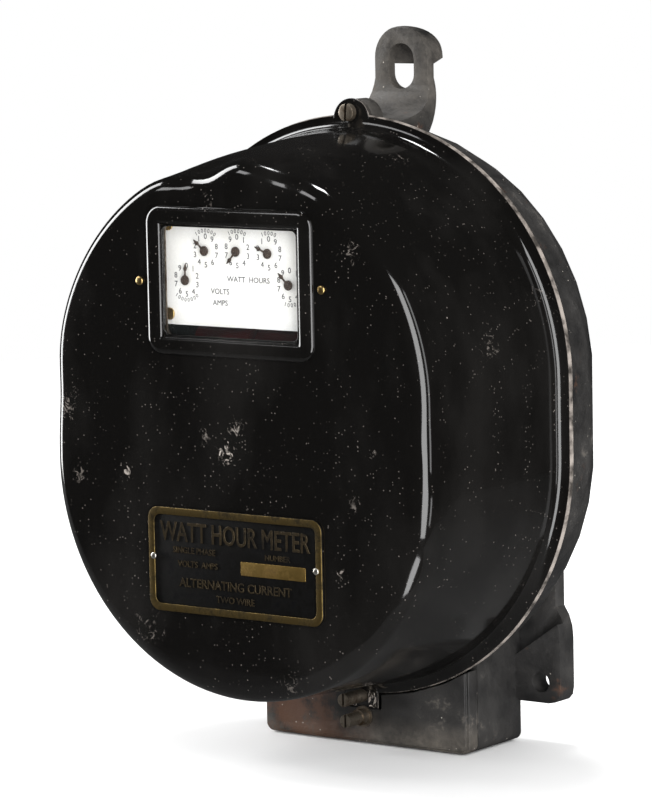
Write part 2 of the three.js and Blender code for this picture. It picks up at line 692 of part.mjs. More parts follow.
function rotor() {
  const { radius, z, thickness } = DISC;
  const shaft = join(
    post(0, SPINDLE_Y, 1.5, -46, 73.2, 12),
    post(0, SPINDLE_Y, 0.6, -50.6, 76.2, 8),
    post(0, SPINDLE_Y, WORM.coreRadius, WORM_WHEEL.z - 6, WORM_WHEEL.z + 6, 12),
    wormThread(),
  );
  add("rotor_shaft", shaft, "steel");
  const disc = join(
    post(0, SPINDLE_Y, radius, z - thickness / 2, z + thickness / 2, 48),
    post(0, SPINDLE_Y, 5, z - 5, z + 5, 16),
  );
  add("rotor_disc", cut(disc, post(0, SPINDLE_Y, 1.8, z - 6, z + 6, 12)), "aluminium");
}

// ---------------------------------------------------------------- the register
// A wheel outline with pointed teeth. One tooth gap is centred on the direction gapAt.
function toothedShape(teeth, rootRadius, tipRadius, gapAt) {
  const points = Array.from({ length: 2 * teeth }, (_, i) => {
    const angle = gapAt + (i * Math.PI) / teeth;
    const r = i % 2 ? tipRadius : rootRadius;
    return new THREE.Vector2(r * Math.cos(angle), r * Math.sin(angle));
  });
  return new THREE.Shape(points);
}

// A pinion of slim straight leaves, with one leaf along the direction leafAt.
function pinion(x, z, leafAt, y) {
  const leaves = Array.from({ length: PINION_TEETH }, (_, i) => {
    const leaf = new THREE.BoxGeometry(1.95, 1.6, 0.34).translate(0.975, 0, 0);
    leaf.rotateY(-leafAt - (i * 2 * Math.PI) / PINION_TEETH);
    return solid(leaf.translate(x, y, z));
  });
  return join(...leaves);
}

const directionTo = (from, to) => Math.atan2(to.z - from.z, to.x - from.x);
const layerY = (layer) => FIRST_LAYER + layer * LAYER_PITCH;
const WORM_ARBOR = { x: WORM_WHEEL_X, z: WORM_WHEEL.z };

function wheel(dial, driver, layer) {
  const pitchRadius = (WHEEL_TEETH * MODULE) / 2;
  const gapAt = directionTo(dial, driver);
  const outline = toothedShape(WHEEL_TEETH, pitchRadius - 0.85, pitchRadius + 0.35, gapAt);
  const y = layerY(layer);
  return plate(outline, y - 0.4, y + 0.4).translate([dial.x, 0, dial.z]);
}

// The first moment of a solid about a dial's axis, as a vector in x and z, in mm^4.
function momentAbout(body, { x, z }) {
  const { numProp, vertProperties: v, triVerts } = body.getMesh();
  const moment = new THREE.Vector2();
  for (let i = 0; i < triVerts.length; i += 3) {
    const [a, b, c] = [0, 1, 2].map((k) => {
      const at = triVerts[i + k] * numProp;
      return new THREE.Vector3(v[at] - x, v[at + 1], v[at + 2] - z);
    });
    const volume = a.dot(new THREE.Vector3().crossVectors(b, c)) / 6;
    moment.x += (volume * (a.x + b.x + c.x)) / 4;
    moment.y += (volume * (a.z + b.z + c.z)) / 4;
  }
  return moment;
}

function hand({ x, z, hand: degrees }) {
  const { front, back, hub } = POINTER;
  const blade = new THREE.Shape();
  blade.moveTo(0.45, 1);
  blade.lineTo(0.35, 4);
  blade.lineTo(0.85, 5.2);
  blade.lineTo(0.3, 6.2);
  blade.lineTo(0.12, 8);
  blade.lineTo(-0.12, 8);
  blade.lineTo(-0.3, 6.2);
  blade.lineTo(-0.85, 5.2);
  blade.lineTo(-0.35, 4);
  blade.lineTo(-0.45, 1);
  const turned = plate(blade, front, back).rotate([0, degrees, 0]).translate([x, 0, z]);
  return join(turned, bar(x, z, hub, front, back, 16));
}

const POINTER = { front: -144.2, back: -143.4, hub: 2.3 };
const STEEL_TO_BRASS = 7850 / 8500;

function register() {
  DIALS.forEach((dial, i) => {
    const driver = i ? DIALS[i - 1] : WORM_ARBOR;
    const next = DIALS[i + 1];
    const pieces = [
      wheel(dial, driver, i),
      bar(dial.x, dial.z, ARBOR_RADIUS, POINTER.back + GAP, REGISTER.backPlate + 2, 8),
    ];
    if (next) pieces.push(pinion(dial.x, dial.z, directionTo(dial, next), layerY(i + 1)));
    const pointer = hand(dial);
    const gear = join(...pieces);
    // A small hole in the wheel, under the hand, keeps the arbor in balance.
    const heavy = momentAbout(pointer, dial)
      .multiplyScalar(STEEL_TO_BRASS)
      .add(momentAbout(gear, dial));
    const reach = 11;
    const sides = 12;
    const area = heavy.length() / reach / 0.8;
    const radius = Math.sqrt(area / ((sides / 2) * Math.sin((2 * Math.PI) / sides)));
    const spot = heavy.normalize().multiplyScalar(reach);
    const y = layerY(i);
    const balance = bar(dial.x + spot.x, dial.z + spot.y, radius, y - 1, y + 1, sides);
    add(`dial_gear_${dial.name}`, cut(gear, balance), "brass");
    add(`pointer_${dial.name}`, pointer, "pointer");
  });

  const { teeth, rootRadius, tipRadius, z } = WORM_WHEEL;
  const outline = toothedShape(teeth, rootRadius, tipRadius, Math.PI);
  const wormWheel = join(
    plate(outline, SPINDLE_Y - 1.2, SPINDLE_Y + 1.2).translate([WORM_WHEEL_X, 0, z]),
    bar(WORM_WHEEL_X, z, ARBOR_RADIUS, -139, -75, 8),
    pinion(WORM_WHEEL_X, z, directionTo(WORM_ARBOR, DIALS[0]), layerY(0)),
  );
  add("worm_wheel", wormWheel, "brass");
}

const DIAL_SCREWS = [
  { name: "top_left", x: -38.5, z: 92.2 },
  { name: "top_right", x: 38.5, z: 92.2 },
  { name: "bottom_left", x: -38.6, z: 51.8 },
  { name: "bottom_right", x: 38.6, z: 51.8 },
];

function registerPlates() {
  const { frontPlate, backPlate, sheet, x, low, high } = REGISTER;
  const outline = roundedRectangle(-x, x, low, high, 4);
  const arbors = [...DIALS, WORM_ARBOR];
  const pivots = (front, back) => arbors.map((at) => bar(at.x, at.z, 1.15, front, back, 8));
  const pillars = [[-43, 95], [43, 95], [-43, 51], [43, 51]].map(([px, pz]) =>
    bar(px, pz, 2, frontPlate + sheet + GAP, backPlate + 0.5, 10),
  );
  const back = join(plate(outline, backPlate, backPlate + sheet), ...pillars);
  add("register_back_plate", cut(back, ...pivots(backPlate - 1, backPlate + 3)), "brass");

  const bosses = DIAL_SCREWS.map((s) => bar(s.x, s.z, 2.6, DIAL_FRONT + 0.8 + GAP, frontPlate + 0.5, 12));
  const tapped = DIAL_SCREWS.map((s) => bar(s.x, s.z, 1.4, DIAL_FRONT - 1, frontPlate + 0.9, 8));
  const front = join(plate(outline, frontPlate, frontPlate + sheet), ...bosses);
  add("register_front_plate", cut(front, ...pivots(frontPlate - 1, frontPlate + 3), ...tapped), "brass");

  const face = roundedRectangle(-42.4, 42.4, 47, 97, 2.5);
  const holes = DIALS.map((at) => bar(at.x, at.z, 1.5, DIAL_FRONT - 1, DIAL_FRONT + 2, 10));
  const screwHoles = DIAL_SCREWS.map((s) => bar(s.x, s.z, 1.4, DIAL_FRONT - 1, DIAL_FRONT + 2, 8));
  add("dial_plate", cut(plate(face, DIAL_FRONT, DIAL_FRONT + 0.8), ...holes, ...screwHoles), "dial");

  for (const { name, x: sx, z: sz } of DIAL_SCREWS) {
    const head = DIAL_FRONT - GAP;
    const cap = bar(sx, sz, 2.9, head - 1.2, head, 20);
    const stem = bar(sx, sz, 1.05, head - 0.4, frontPlate + 0.6, 8);
    const body = join(cap, stem);
    const slot = box(sx - 4, sx + 4, head - 2, head - 0.7, sz - 0.35, sz + 0.35);
    add(`dial_screw_${name}`, cut(body, slot), "brass");
  }
}

// ---------------------------------------------------------------- the assembly
add("base_casting", baseCasting(), "castIron");
add(
  "cover_gasket",
  obround([
    [GASKET.inner, GASKET.front],
    [GASKET.outer, GASKET.front],
    [GASKET.outer, GASKET.back],
    [GASKET.inner, GASKET.back],
    [GASKET.inner, GASKET.front],
  ]),
  "gasket",
);
add("cover_shell", coverShell(), "enamel");
windowPieces();
nameplatePieces();
coverScrews();
add("terminal_cover", terminalCover(), "castIron");
add("terminal_cover_screw", terminalScrew(), "steel");
terminalPieces();
for (const route of LEADS) add(route.name, lead(route), "cotton");
add("mechanism_frame", mechanismFrame(), "castIron");
FRAME_SCREWS.forEach((place, i) => add(`frame_screw_${i + 1}`, frameScrew(place), "steel"));
add("magnet_shelf", magnetShelf(), "castIron");
add("drag_magnet_left", dragMagnet(-1), "magnet");
add("drag_magnet_right", dragMagnet(1), "magnet");
voltageElement();
currentElement();
bearings();
rotor();
registerPlates();
register();

export default model;
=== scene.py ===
"""Looks of a wall-hung watt-hour meter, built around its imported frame.

Sizes in the classes are millimetres in the meter's own frame: the wall is y = 0, the front faces -Y
and up is +Z. Meshes are made in metres, and the studio around them is given in metres.
"""

import logging
import math
from collections.abc import Iterable, Sequence
from dataclasses import dataclass, field
from enum import Enum, StrEnum

import bmesh
import bpy
from mathutils import Matrix, Vector


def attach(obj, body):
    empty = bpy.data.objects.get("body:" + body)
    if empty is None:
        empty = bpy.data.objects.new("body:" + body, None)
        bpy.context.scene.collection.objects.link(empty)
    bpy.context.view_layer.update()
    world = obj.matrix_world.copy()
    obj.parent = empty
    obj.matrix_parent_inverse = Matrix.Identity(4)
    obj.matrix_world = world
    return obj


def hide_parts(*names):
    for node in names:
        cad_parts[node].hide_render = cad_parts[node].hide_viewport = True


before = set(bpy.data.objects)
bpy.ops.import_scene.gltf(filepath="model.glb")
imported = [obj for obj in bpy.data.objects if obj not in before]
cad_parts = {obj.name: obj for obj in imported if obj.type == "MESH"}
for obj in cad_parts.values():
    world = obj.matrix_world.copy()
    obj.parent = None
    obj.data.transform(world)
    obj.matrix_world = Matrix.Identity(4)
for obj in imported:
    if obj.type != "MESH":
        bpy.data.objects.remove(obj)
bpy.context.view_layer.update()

MM = 0.001
Colour = tuple[float, float, float]
Point = tuple[float, float, float]
Spot = tuple[float, float]
log = logging.getLogger("meter")


class Body(StrEnum):
    """The rigid bodies that pieces ride on, apart from the five dials' own."""

    BASE = "base"
    COVER = "cover"
    TERMINAL_LID = "terminal_lid"


class Winding(Enum):
    """The way a dial's numbers run, as the sign of its turn."""

    CLOCKWISE = 1
    COUNTERCLOCKWISE = -1


# ------------------------------------------------------------------ node trees
class Graph:
    """A node tree with short calls that add a node and join it."""

    def __init__(self, tree: bpy.types.NodeTree) -> None:
        """Takes over a tree.

        Args:
            tree: The shader or geometry tree to add to.
        """
        self.tree = tree

    def node(self, kind: str, sockets: dict | None = None, **settings: object) -> bpy.types.Node:
        """Adds a node.

        Args:
            kind: The node's type.
            sockets: Input index or name, to a value or to the output socket that feeds it.
            **settings: Properties of the node, set before its sockets.

        Returns:
            The new node.
        """
        made = self.tree.nodes.new(kind)
        for key, value in settings.items():
            setattr(made, key, value)
        for key, value in (sockets or {}).items():
            if isinstance(value, bpy.types.NodeSocket):
                self.tree.links.new(value, made.inputs[key])
            else:
                made.inputs[key].default_value = value
        return made

    def maths(self, operation: str, *values: object, clamp: bool = False) -> bpy.types.NodeSocket:
        """Adds a Math node and returns its output.

        Args:
            operation: The Math node's operation.
            *values: Numbers or sockets, in order.
            clamp: Whether the result is kept within 0 and 1.

        Returns:
            The result.
        """
        sockets = dict(enumerate(values))
        return self.node("ShaderNodeMath", sockets, operation=operation, use_clamp=clamp).outputs[0]

    def remap(self, value: object, low: object, high: object, start: object = 0.0,
              end: object = 1.0) -> bpy.types.NodeSocket:
        """Maps a range of a value onto another, clamped.

        Args:
            value: The value to map.
            low: The value that gives start.
            high: The value that gives end.
            start: The result at low.
            end: The result at high.

        Returns:
            The mapped value.
        """
        sockets = {0: value, 1: low, 2: high, 3: start, 4: end}
        return self.node("ShaderNodeMapRange", sockets, clamp=True).outputs[0]

    def vector(self, x: object, y: object, z: object) -> bpy.types.NodeSocket:
        """Joins three numbers or sockets into a vector socket."""
        return self.node("ShaderNodeCombineXYZ", {0: x, 1: y, 2: z}).outputs[0]


class Skin(Graph):
    """The shader tree of one finish."""

    def __init__(self, name: str) -> None:
        """Makes an empty material with a Principled shader.

        Args:
            name: The material's name.
        """
        self.material = bpy.data.materials.new(name)
        self.material.use_nodes = True
        super().__init__(self.material.node_tree)
        self.tree.nodes.clear()
        self.shader = self.node("ShaderNodeBsdfPrincipled")
        self.node("ShaderNodeOutputMaterial", {0: self.shader.outputs[0]})
        self.place = self.node("ShaderNodeTexCoord").outputs["Object"]

    def grain(self, scale: float, detail: float = 4.0, stretch: Point = (1, 1, 1),
              rough: float = 0.55) -> bpy.types.NodeSocket:
        """Noise in object space.

        Args:
            scale: Cells to a metre.
            detail: Octaves.
            stretch: How much denser the noise is along each axis.
            rough: How strong the finer octaves are.

        Returns:
            The noise, from 0 to 1.
        """
        where = self.node("ShaderNodeMapping", {0: self.place, 3: stretch}).outputs[0]
        sockets = {"Vector": where, "Scale": scale, "Detail": detail, "Roughness": rough}
        return self.node("ShaderNodeTexNoise", sockets).outputs[0]

    def above(self, value: object, level: float, width: float = 0.04) -> bpy.types.NodeSocket:
        """Gives 1 where a value is well above a level, and 0 where it is well below."""
        return self.remap(value, level - width / 2, level + width / 2)

    def flecks(self, scale: float, size: float, share: float) -> bpy.types.NodeSocket:
        """Small round flecks, in some of the cells of a random pattern.

        Args:
            scale: Cells to a metre.
            size: A fleck's radius, in cells.
            share: The share of cells that have one.

        Returns:
            1 on a fleck and 0 off it.
        """
        cells = self.node("ShaderNodeTexVoronoi", {"Vector": self.place, "Scale": scale})
        dot = self.remap(cells.outputs["Distance"], size, size * 0.5)
        pick = self.node("ShaderNodeSeparateColor", {0: cells.outputs["Color"]}).outputs[0]
        return self.maths("MULTIPLY", dot, self.maths("LESS_THAN", pick, share))

    def scratches(self, scale: float) -> bpy.types.NodeSocket:
        """Broken, curling streaks, as where an edge has scraped.

        Args:
            scale: Cells to a metre.

        Returns:
            The pattern, from 0 to 1, high on a streak.
        """
        sockets = {"Vector": self.place, "Scale": scale, "Detail": 8.0, "Roughness": 0.68, "Distortion": 1.6}
        return self.node("ShaderNodeTexNoise", sockets).outputs[0]

    def near(self, point: Point, radius: float) -> bpy.types.NodeSocket:
        """Falls from 1 at a point to 0 at a distance from it.

        Args:
            point: The point, in millimetres.
            radius: The distance, in millimetres.

        Returns:
            The pattern, from 0 to 1.
        """
        centre = tuple(v * MM for v in point)
        gap = self.node("ShaderNodeVectorMath", {0: self.place, 1: centre}, operation="DISTANCE")
        return self.remap(gap.outputs["Value"], 0.0, radius * MM, 1.0, 0.0)

    def blend(self, amount: object, first: object, second: object) -> bpy.types.NodeSocket:
        """Mixes two colours.

        Args:
            amount: 0 gives the first, 1 the second.
            first: A colour or a socket.
            second: A colour or a socket.

        Returns:
            The mixed colour.
        """
        pair = [c if isinstance(c, bpy.types.NodeSocket) else (*c, 1.0) for c in (first, second)]
        sockets = {0: amount, 6: pair[0], 7: pair[1]}
        return self.node("ShaderNodeMix", sockets, data_type="RGBA").outputs[2]

    def finish(self, colour: object, roughness: object, bump: object = None, depth: float = 0.1,
               **fixed: float) -> bpy.types.Material:
        """Joins the patterns to the shader.

        Args:
            colour: The colour socket.
            roughness: The roughness socket.
            bump: The height socket, if the surface isn't smooth.
            depth: How far the height reaches, in millimetres.
            **fixed: Shader inputs that are the same all over, with _ for a space.

        Returns:
            The finished material.
        """
        self.tree.links.new(colour, self.shader.inputs["Base Color"])
        self.tree.links.new(roughness, self.shader.inputs["Roughness"])
        if bump is not None:
            sockets = {"Height": bump, "Strength": 1.0, "Distance": depth * MM}
            normal = self.node("ShaderNodeBump", sockets).outputs[0]
            self.tree.links.new(normal, self.shader.inputs["Normal"])
        for key, value in fixed.items():
            self.shader.inputs[key.replace("_", " ")].default_value = value
        return self.material


# ------------------------------------------------------------------ finishes
@dataclass(frozen=True)
class Finish:
    """A surface finish. Each kind says how its patterns are joined."""

    name: str

    def build(self, skin: Skin) -> bpy.types.Material:
        """Joins this finish's patterns to its shader."""
        raise NotImplementedError

    def material(self) -> bpy.types.Material:
        """The finish's material, made on first use."""
        return bpy.data.materials.get(self.name) or self.build(Skin(self.name))


@dataclass(frozen=True)
class Scuff:
    """A place where enamel is scraped or dusty: centre, reach and how much of it shows."""

    x: float
    y: float
    z: float
    reach: float
    amount: float = 0.5


@dataclass(frozen=True)
class StovedEnamel(Finish):
    """Glossy black enamel with pale flecks, smudges and scraped places, worn behind a depth."""

    scuffs: tuple[Scuff, ...] = ()
    black: Colour = (0.003, 0.0028, 0.0026)
    smudged: Colour = (0.0085, 0.008, 0.0075)
    chip: Colour = (0.42, 0.37, 0.33)
    worn_beyond: float = -53.9

    def build(self, skin: Skin) -> bpy.types.Material:
        """Joins flecks, scuffs and smudges to a clear hard gloss, worn through at the flange's edge.

        Args:
            skin: The shader tree to fill.

        Returns:
            The finished material.
        """
        patch = skin.remap(skin.grain(45, 3), 0.42, 0.62)
        marks = skin.maths("MULTIPLY", skin.flecks(600, 0.23, 0.22), skin.remap(patch, 0.0, 1.0, 0.05, 0.24))
        marks = skin.maths("MAXIMUM", marks, skin.maths("MULTIPLY", skin.flecks(270, 0.11, 0.05), 0.2))
        marks = skin.maths("MAXIMUM", marks, skin.maths("MULTIPLY", skin.flecks(70, 0.035, 0.07), 0.4))
        streaks = skin.scratches(240)
        for scuff in self.scuffs:
            fade = skin.near((scuff.x, scuff.y, scuff.z), scuff.reach)
            reached = skin.maths("ADD", streaks, skin.maths("MULTIPLY", fade, 0.17))
            mark = skin.maths("MULTIPLY", skin.above(reached, 0.69, 0.07), scuff.amount)
            mark = skin.maths("MULTIPLY", mark, skin.above(fade, 0.15, 0.2))
            marks = skin.maths("MAXIMUM", marks, mark)
        depth = skin.node("ShaderNodeSeparateXYZ", {0: skin.place}).outputs[1]
        edge = skin.above(depth, self.worn_beyond * MM, 0.0002)
        worn = skin.remap(skin.grain(130, 5), 0.4, 0.62, 0.08, 0.6)
        marks = skin.maths("MAXIMUM", marks, skin.maths("MULTIPLY", edge, worn))
        smudge = skin.grain(22, 4, (1, 1, 0.5))
        film = skin.blend(skin.above(smudge, 0.62, 0.3), self.black, self.smudged)
        colour = skin.blend(marks, film, self.chip)
        rough = skin.maths("ADD", skin.remap(smudge, 0.35, 0.75, 0.06, 0.16),
                           skin.maths("MULTIPLY", marks, 0.5))
        wave = skin.maths("ADD", skin.maths("MULTIPLY", skin.grain(16, 1), 6.0),
                          skin.maths("MULTIPLY", marks, -0.25))
        return skin.finish(colour, rough, wave, 0.08, Specular_IOR_Level=0.5)


@dataclass(frozen=True)
class WornJapan(Finish):
    """Worn black japan on rough cast iron, with pale dust and some rust.

    The rust keeps to the left of a place. The colour is painted paler above one height and below another:
    on the ear above, partly dust and partly painted highlight; at the foot, paler towards the bottom. Places
    that are far outside the meter leave the rust everywhere and the paling out.
    """

    dusty: float = 0.5
    rusty: float = 0.25
    rust_left_of: float = 1000.0
    dusty_above: float = 1000.0
    dusty_below: float = -1000.0
    black: Colour = (0.008, 0.008, 0.0085)
    rubbed: Colour = (0.034, 0.032, 0.03)
    dust: Colour = (0.16, 0.138, 0.112)
    rust: Colour = (0.1, 0.044, 0.022)
    grit: Colour = (0.35, 0.32, 0.28)

    def build(self, skin: Skin) -> bpy.types.Material:
        """Joins dust, rust and sand-cast grain.

        Args:
            skin: The shader tree to fill.

        Returns:
            The finished material.
        """
        broad = skin.grain(38, 5, rough=0.6)
        fine = skin.grain(420, 4, rough=0.65)
        both = skin.maths("ADD", skin.maths("MULTIPLY", broad, 0.65), skin.maths("MULTIPLY", fine, 0.35))
        dust_and_paling = skin.remap(both, 0.66 - 0.2 * self.dusty, 0.82 - 0.2 * self.dusty, 0.0, 0.75)
        rusted = skin.above(skin.grain(55, 6, rough=0.7), 0.76 - 0.26 * self.rusty, 0.12)
        where = skin.node("ShaderNodeSeparateXYZ", {0: skin.place})
        across, upward = where.outputs[0], where.outputs[2]
        left, high, low = self.rust_left_of, self.dusty_above, self.dusty_below
        leftward = skin.remap(across, (left - 40) * MM, left * MM, 1.0, 0.0)
        rusted = skin.maths("MULTIPLY", rusted, leftward)
        # Painted paler above and below given heights: on the ear, partly dust and partly painted highlight;
        # at the foot, paler towards the bottom.
        top = skin.remap(upward, (high - 8) * MM, (high + 12) * MM, 0.0, 0.32)
        foot = skin.remap(upward, low * MM, (low - 11) * MM, 0.0, 0.6)
        ends = skin.maths("MAXIMUM", top, foot)
        height_paling = skin.maths("MULTIPLY", ends, skin.remap(both, 0.36, 0.62))
        dust_and_paling = skin.maths("MAXIMUM", dust_and_paling, height_paling)
        base = skin.blend(skin.above(broad, 0.5, 0.4), self.black, self.rubbed)
        colour = skin.blend(dust_and_paling, base, self.dust)
        colour = skin.blend(skin.maths("MULTIPLY", rusted, 0.8), colour, self.rust)
        colour = skin.blend(skin.flecks(500, 0.2, 0.05), colour, self.grit)
        rough = skin.remap(both, 0.35, 0.65, 0.34, 0.72)
        height = skin.maths("ADD", fine, skin.maths("MULTIPLY", broad, 2.0))
        return skin.finish(colour, rough, height, 0.22, Specular_IOR_Level=0.5)


@dataclass(frozen=True)
class Metal(Finish):
    """Bare metal, with tarnish in patches and fine brushing."""

    bright: Colour = (0.5, 0.5, 0.5)
    tarnish: Colour = (0.2, 0.18, 0.14)
    tarnished: float = 0.5
    roughness: float = 0.3
    brushing: Point = (1, 1, 6)

    def build(self, skin: Skin) -> bpy.types.Material:
        """Joins tarnish and brushing.

        Args:
            skin: The shader tree to fill.

        Returns:
            The finished material.
        """
        patch = skin.grain(170, 6, rough=0.65)
        lines = skin.grain(900, 3, self.brushing)
        amount = skin.remap(patch, 0.75 - 0.5 * self.tarnished, 0.95 - 0.5 * self.tarnished)
        colour = skin.blend(amount, self.bright, self.tarnish)
        rough = skin.maths("ADD", skin.maths("MULTIPLY", amount, 0.25),
                           skin.remap(lines, 0.3, 0.7, self.roughness, self.roughness + 0.12))
        return skin.finish(colour, rough, lines, 0.02, Metallic=1.0)


@dataclass(frozen=True)
class Coated(Finish):
    """A painted, moulded or enamelled surface with soft mottling."""

    colour: Colour = (0.8, 0.8, 0.8)
    shade: Colour = (0.6, 0.6, 0.6)
    roughness: float = 0.4
    scale: float = 60.0
    relief: float = 0.02

    def build(self, skin: Skin) -> bpy.types.Material:
        """Joins mottling and a fine grain.

        Args:
            skin: The shader tree to fill.

        Returns:
            The finished material.
        """
        mottle = skin.grain(self.scale, 5, rough=0.6)
        fine = skin.grain(1300, 3)
        colour = skin.blend(skin.remap(mottle, 0.42, 0.72), self.colour, self.shade)
        rough = skin.remap(fine, 0.3, 0.7, self.roughness - 0.04, self.roughness + 0.1)
        return skin.finish(colour, rough, fine, self.relief)


@dataclass(frozen=True)
class Wound(Finish):
    """Cotton tape or covered wire, varnished."""

    colour: Colour = (0.16, 0.035, 0.02)
    shade: Colour = (0.06, 0.018, 0.012)

    def build(self, skin: Skin) -> bpy.types.Material:
        """Joins a weave of two crossed waves.

        Args:
            skin: The shader tree to fill.

        Returns:
            The finished material.
        """
        waves = [skin.node("ShaderNodeTexWave", {"Vector": skin.place, "Scale": 220.0, "Distortion": 1.5},
                           bands_direction=way).outputs[1] for way in ("X", "Z")]
        weave = skin.maths("MULTIPLY", waves[0], waves[1])
        colour = skin.blend(weave, self.shade, self.colour)
        return skin.finish(colour, skin.remap(skin.grain(90), 0.3, 0.7, 0.5, 0.8), weave, 0.12)


@dataclass(frozen=True)
class Laminated(Finish):
    """Varnished iron sheets, stacked from front to back."""

    varnish: Colour = (0.05, 0.045, 0.04)
    joint: Colour = (0.014, 0.012, 0.01)
    iron: Colour = (0.2, 0.19, 0.18)

    def build(self, skin: Skin) -> bpy.types.Material:
        """Joins the sheets' dark edges, rubbed places and an uneven varnish.

        Args:
            skin: The shader tree to fill.

        Returns:
            The finished material.
        """
        sheets = skin.node("ShaderNodeTexWave", {"Vector": skin.place, "Scale": 450.0, "Distortion": 0.4},
                           bands_direction="Y").outputs[1]
        colour = skin.blend(skin.above(sheets, 0.3, 0.3), self.joint, self.varnish)
        rubbed = skin.above(skin.grain(120, 5, rough=0.65), 0.58, 0.12)
        colour = skin.blend(skin.maths("MULTIPLY", rubbed, sheets), colour, self.iron)
        rough = skin.remap(skin.grain(260, 4), 0.3, 0.7, 0.32, 0.55)
        return skin.finish(colour, rough, sheets, 0.12)


@dataclass(frozen=True)
class ClearGlass(Finish):
    """Thin old window glass with faint dust."""

    tint: Colour = (0.12, 0.13, 0.13)
    dust: Colour = (0.5, 0.49, 0.46)
    opacity: float = 0.035
    index: float = 1.45

    def build(self, skin: Skin) -> bpy.types.Material:
        """Lets light straight through, with a thin gloss on top.

        Args:
            skin: The shader tree to fill.

        Returns:
            The finished material.
        """
        dusty = skin.above(skin.grain(160, 5), 0.66, 0.1)
        colour = skin.blend(dusty, self.tint, self.dust)
        rough = skin.remap(dusty, 0.0, 1.0, 0.02, 0.2)
        return skin.finish(colour, rough, None, Alpha=self.opacity, IOR=self.index)


@dataclass(frozen=True)
class PaleFloor(Finish):
    """A pale matt floor, which polished surfaces see as a dim one that is lighter near the meter."""

    pale: Colour = (0.93, 0.93, 0.93)
    mottle: Colour = (0.9, 0.9, 0.9)
    dim: Colour = (0.025, 0.025, 0.025)
    lit: Colour = (0.14, 0.14, 0.14)
    lit_about: Point = (90.0, -80.0, -158.2)
    lit_reach: float = 360.0

    def build(self, skin: Skin) -> bpy.types.Material:
        """Joins a faint mottle, and dims what mirrors see of it.

        Args:
            skin: The shader tree to fill.

        Returns:
            The finished material.
        """
        pale = skin.blend(skin.grain(4, 2), self.pale, self.mottle)
        mirrored = skin.node("ShaderNodeLightPath").outputs["Is Glossy Ray"]
        seen = skin.blend(skin.near(self.lit_about, self.lit_reach), self.dim, self.lit)
        rough = skin.remap(skin.grain(20), 0.3, 0.7, 0.7, 0.9)
        return skin.finish(skin.blend(mirrored, pale, seen), rough)


MARKS = (
    Scuff(-4, -148.5, -9, 9, 0.95), Scuff(2, -148.5, 2, 8, 0.5), Scuff(-16, -148.5, -2, 7, 0.25),
    Scuff(-98, -148.5, 8, 15, 0.22), Scuff(-62, -148.5, -22, 6, 0.6), Scuff(-90, -148.5, -24, 6, 0.2),
    Scuff(-50, -148.5, -92, 12, 0.2), Scuff(66, -148.5, -28, 6, 0.2), Scuff(58, -148.5, -58, 6, 0.4),
    Scuff(-12, -148.5, 104, 9, 0.15), Scuff(66, -148.5, 84, 8, 0.3), Scuff(30, -148.5, -112, 9, 0.15),
    Scuff(76, -148.5, -4, 5, 0.3), Scuff(106, -100, 40, 10, 0.18), Scuff(114, -62, 60, 14, 0.3),
    Scuff(46, -80, 122, 9, 0.25), Scuff(-104, -146, 34, 12, 0.25),
)
EDGE_MARKS = (Scuff(4, -54, -137, 9, 1.0), Scuff(-5, -54, -138, 5, 0.7))
ENAMEL = StovedEnamel("stoved black enamel", MARKS)
WORN_EDGE = StovedEnamel("enamel worn at an edge", EDGE_MARKS)
# The ear above 134 mm is painted paler: partly dust, partly painted highlight.
JAPAN = WornJapan("worn japan on cast iron", 0.28, 0.3, dusty_above=134.0)
# The terminal lid is painted paler below -143 mm, towards its bottom.
RUSTY_JAPAN = WornJapan("rusted japan on cast iron", 0.4, 1.1, rust_left_of=8.0, dusty_below=-143.0)
INNER_JAPAN = WornJapan("clean japan on cast iron", 0.1, 0.0)
FELT = Coated("dusty felt", (0.16, 0.135, 0.1), (0.05, 0.045, 0.035), 0.9, 240, 0.15)
BRASS = Metal("lacquered brass", (0.62, 0.44, 0.18), (0.28, 0.19, 0.08), 0.45, 0.25)
OLD_BRASS = Metal("tarnished brass", (0.2, 0.14, 0.05), (0.06, 0.046, 0.024), 0.6, 0.42)
BRASS_RECESS = Metal("blackened brass", (0.032, 0.031, 0.03), (0.014, 0.014, 0.015), 0.55, 0.42)
BRASS_FIELD = Metal("rubbed brass", (0.5, 0.33, 0.1), (0.26, 0.17, 0.06), 0.5, 0.38)
RAISED_BRASS = Metal("raised dull brass", (0.1, 0.076, 0.045), (0.035, 0.03, 0.024), 0.6, 0.5)
DULL_STEEL = Metal("dull steel", (0.30, 0.26, 0.21), (0.10, 0.07, 0.045), 0.62, 0.42)
BRIGHT_STEEL = Metal("worn bright steel", (0.75, 0.72, 0.66), (0.35, 0.3, 0.24), 0.3, 0.3)
BROWN_STEEL = Coated("browned steel", (0.035, 0.023, 0.017), (0.075, 0.05, 0.035), 0.45, 700, 0.02)
DIAL_WHITE = Coated("white dial enamel", (0.83, 0.83, 0.81), (0.74, 0.73, 0.69), 0.22, 45, 0.004)
INK = Coated("printing ink", (0.035, 0.035, 0.04), (0.12, 0.12, 0.125), 0.5, 900, 0.002)
MAGNET_PAINT = Coated("red magnet paint", (0.075, 0.008, 0.008), (0.03, 0.005, 0.005), 0.35, 80, 0.03)
CORE_VARNISH = Laminated("varnished iron sheets")
FINE_WIRE = Wound("fine covered wire", (0.13, 0.06, 0.03), (0.05, 0.024, 0.014))
STOUT_WIRE = Wound("stout covered wire", (0.17, 0.045, 0.026), (0.07, 0.02, 0.014))
ALUMINIUM = Metal("satin aluminium", (0.75, 0.76, 0.77), (0.5, 0.5, 0.5), 0.2, 0.25, (1, 1, 1))
RUBBER = Coated("moulded hard rubber", (0.022, 0.016, 0.013), (0.04, 0.028, 0.02), 0.45, 70, 0.04)
COTTON = Wound("varnished cotton")
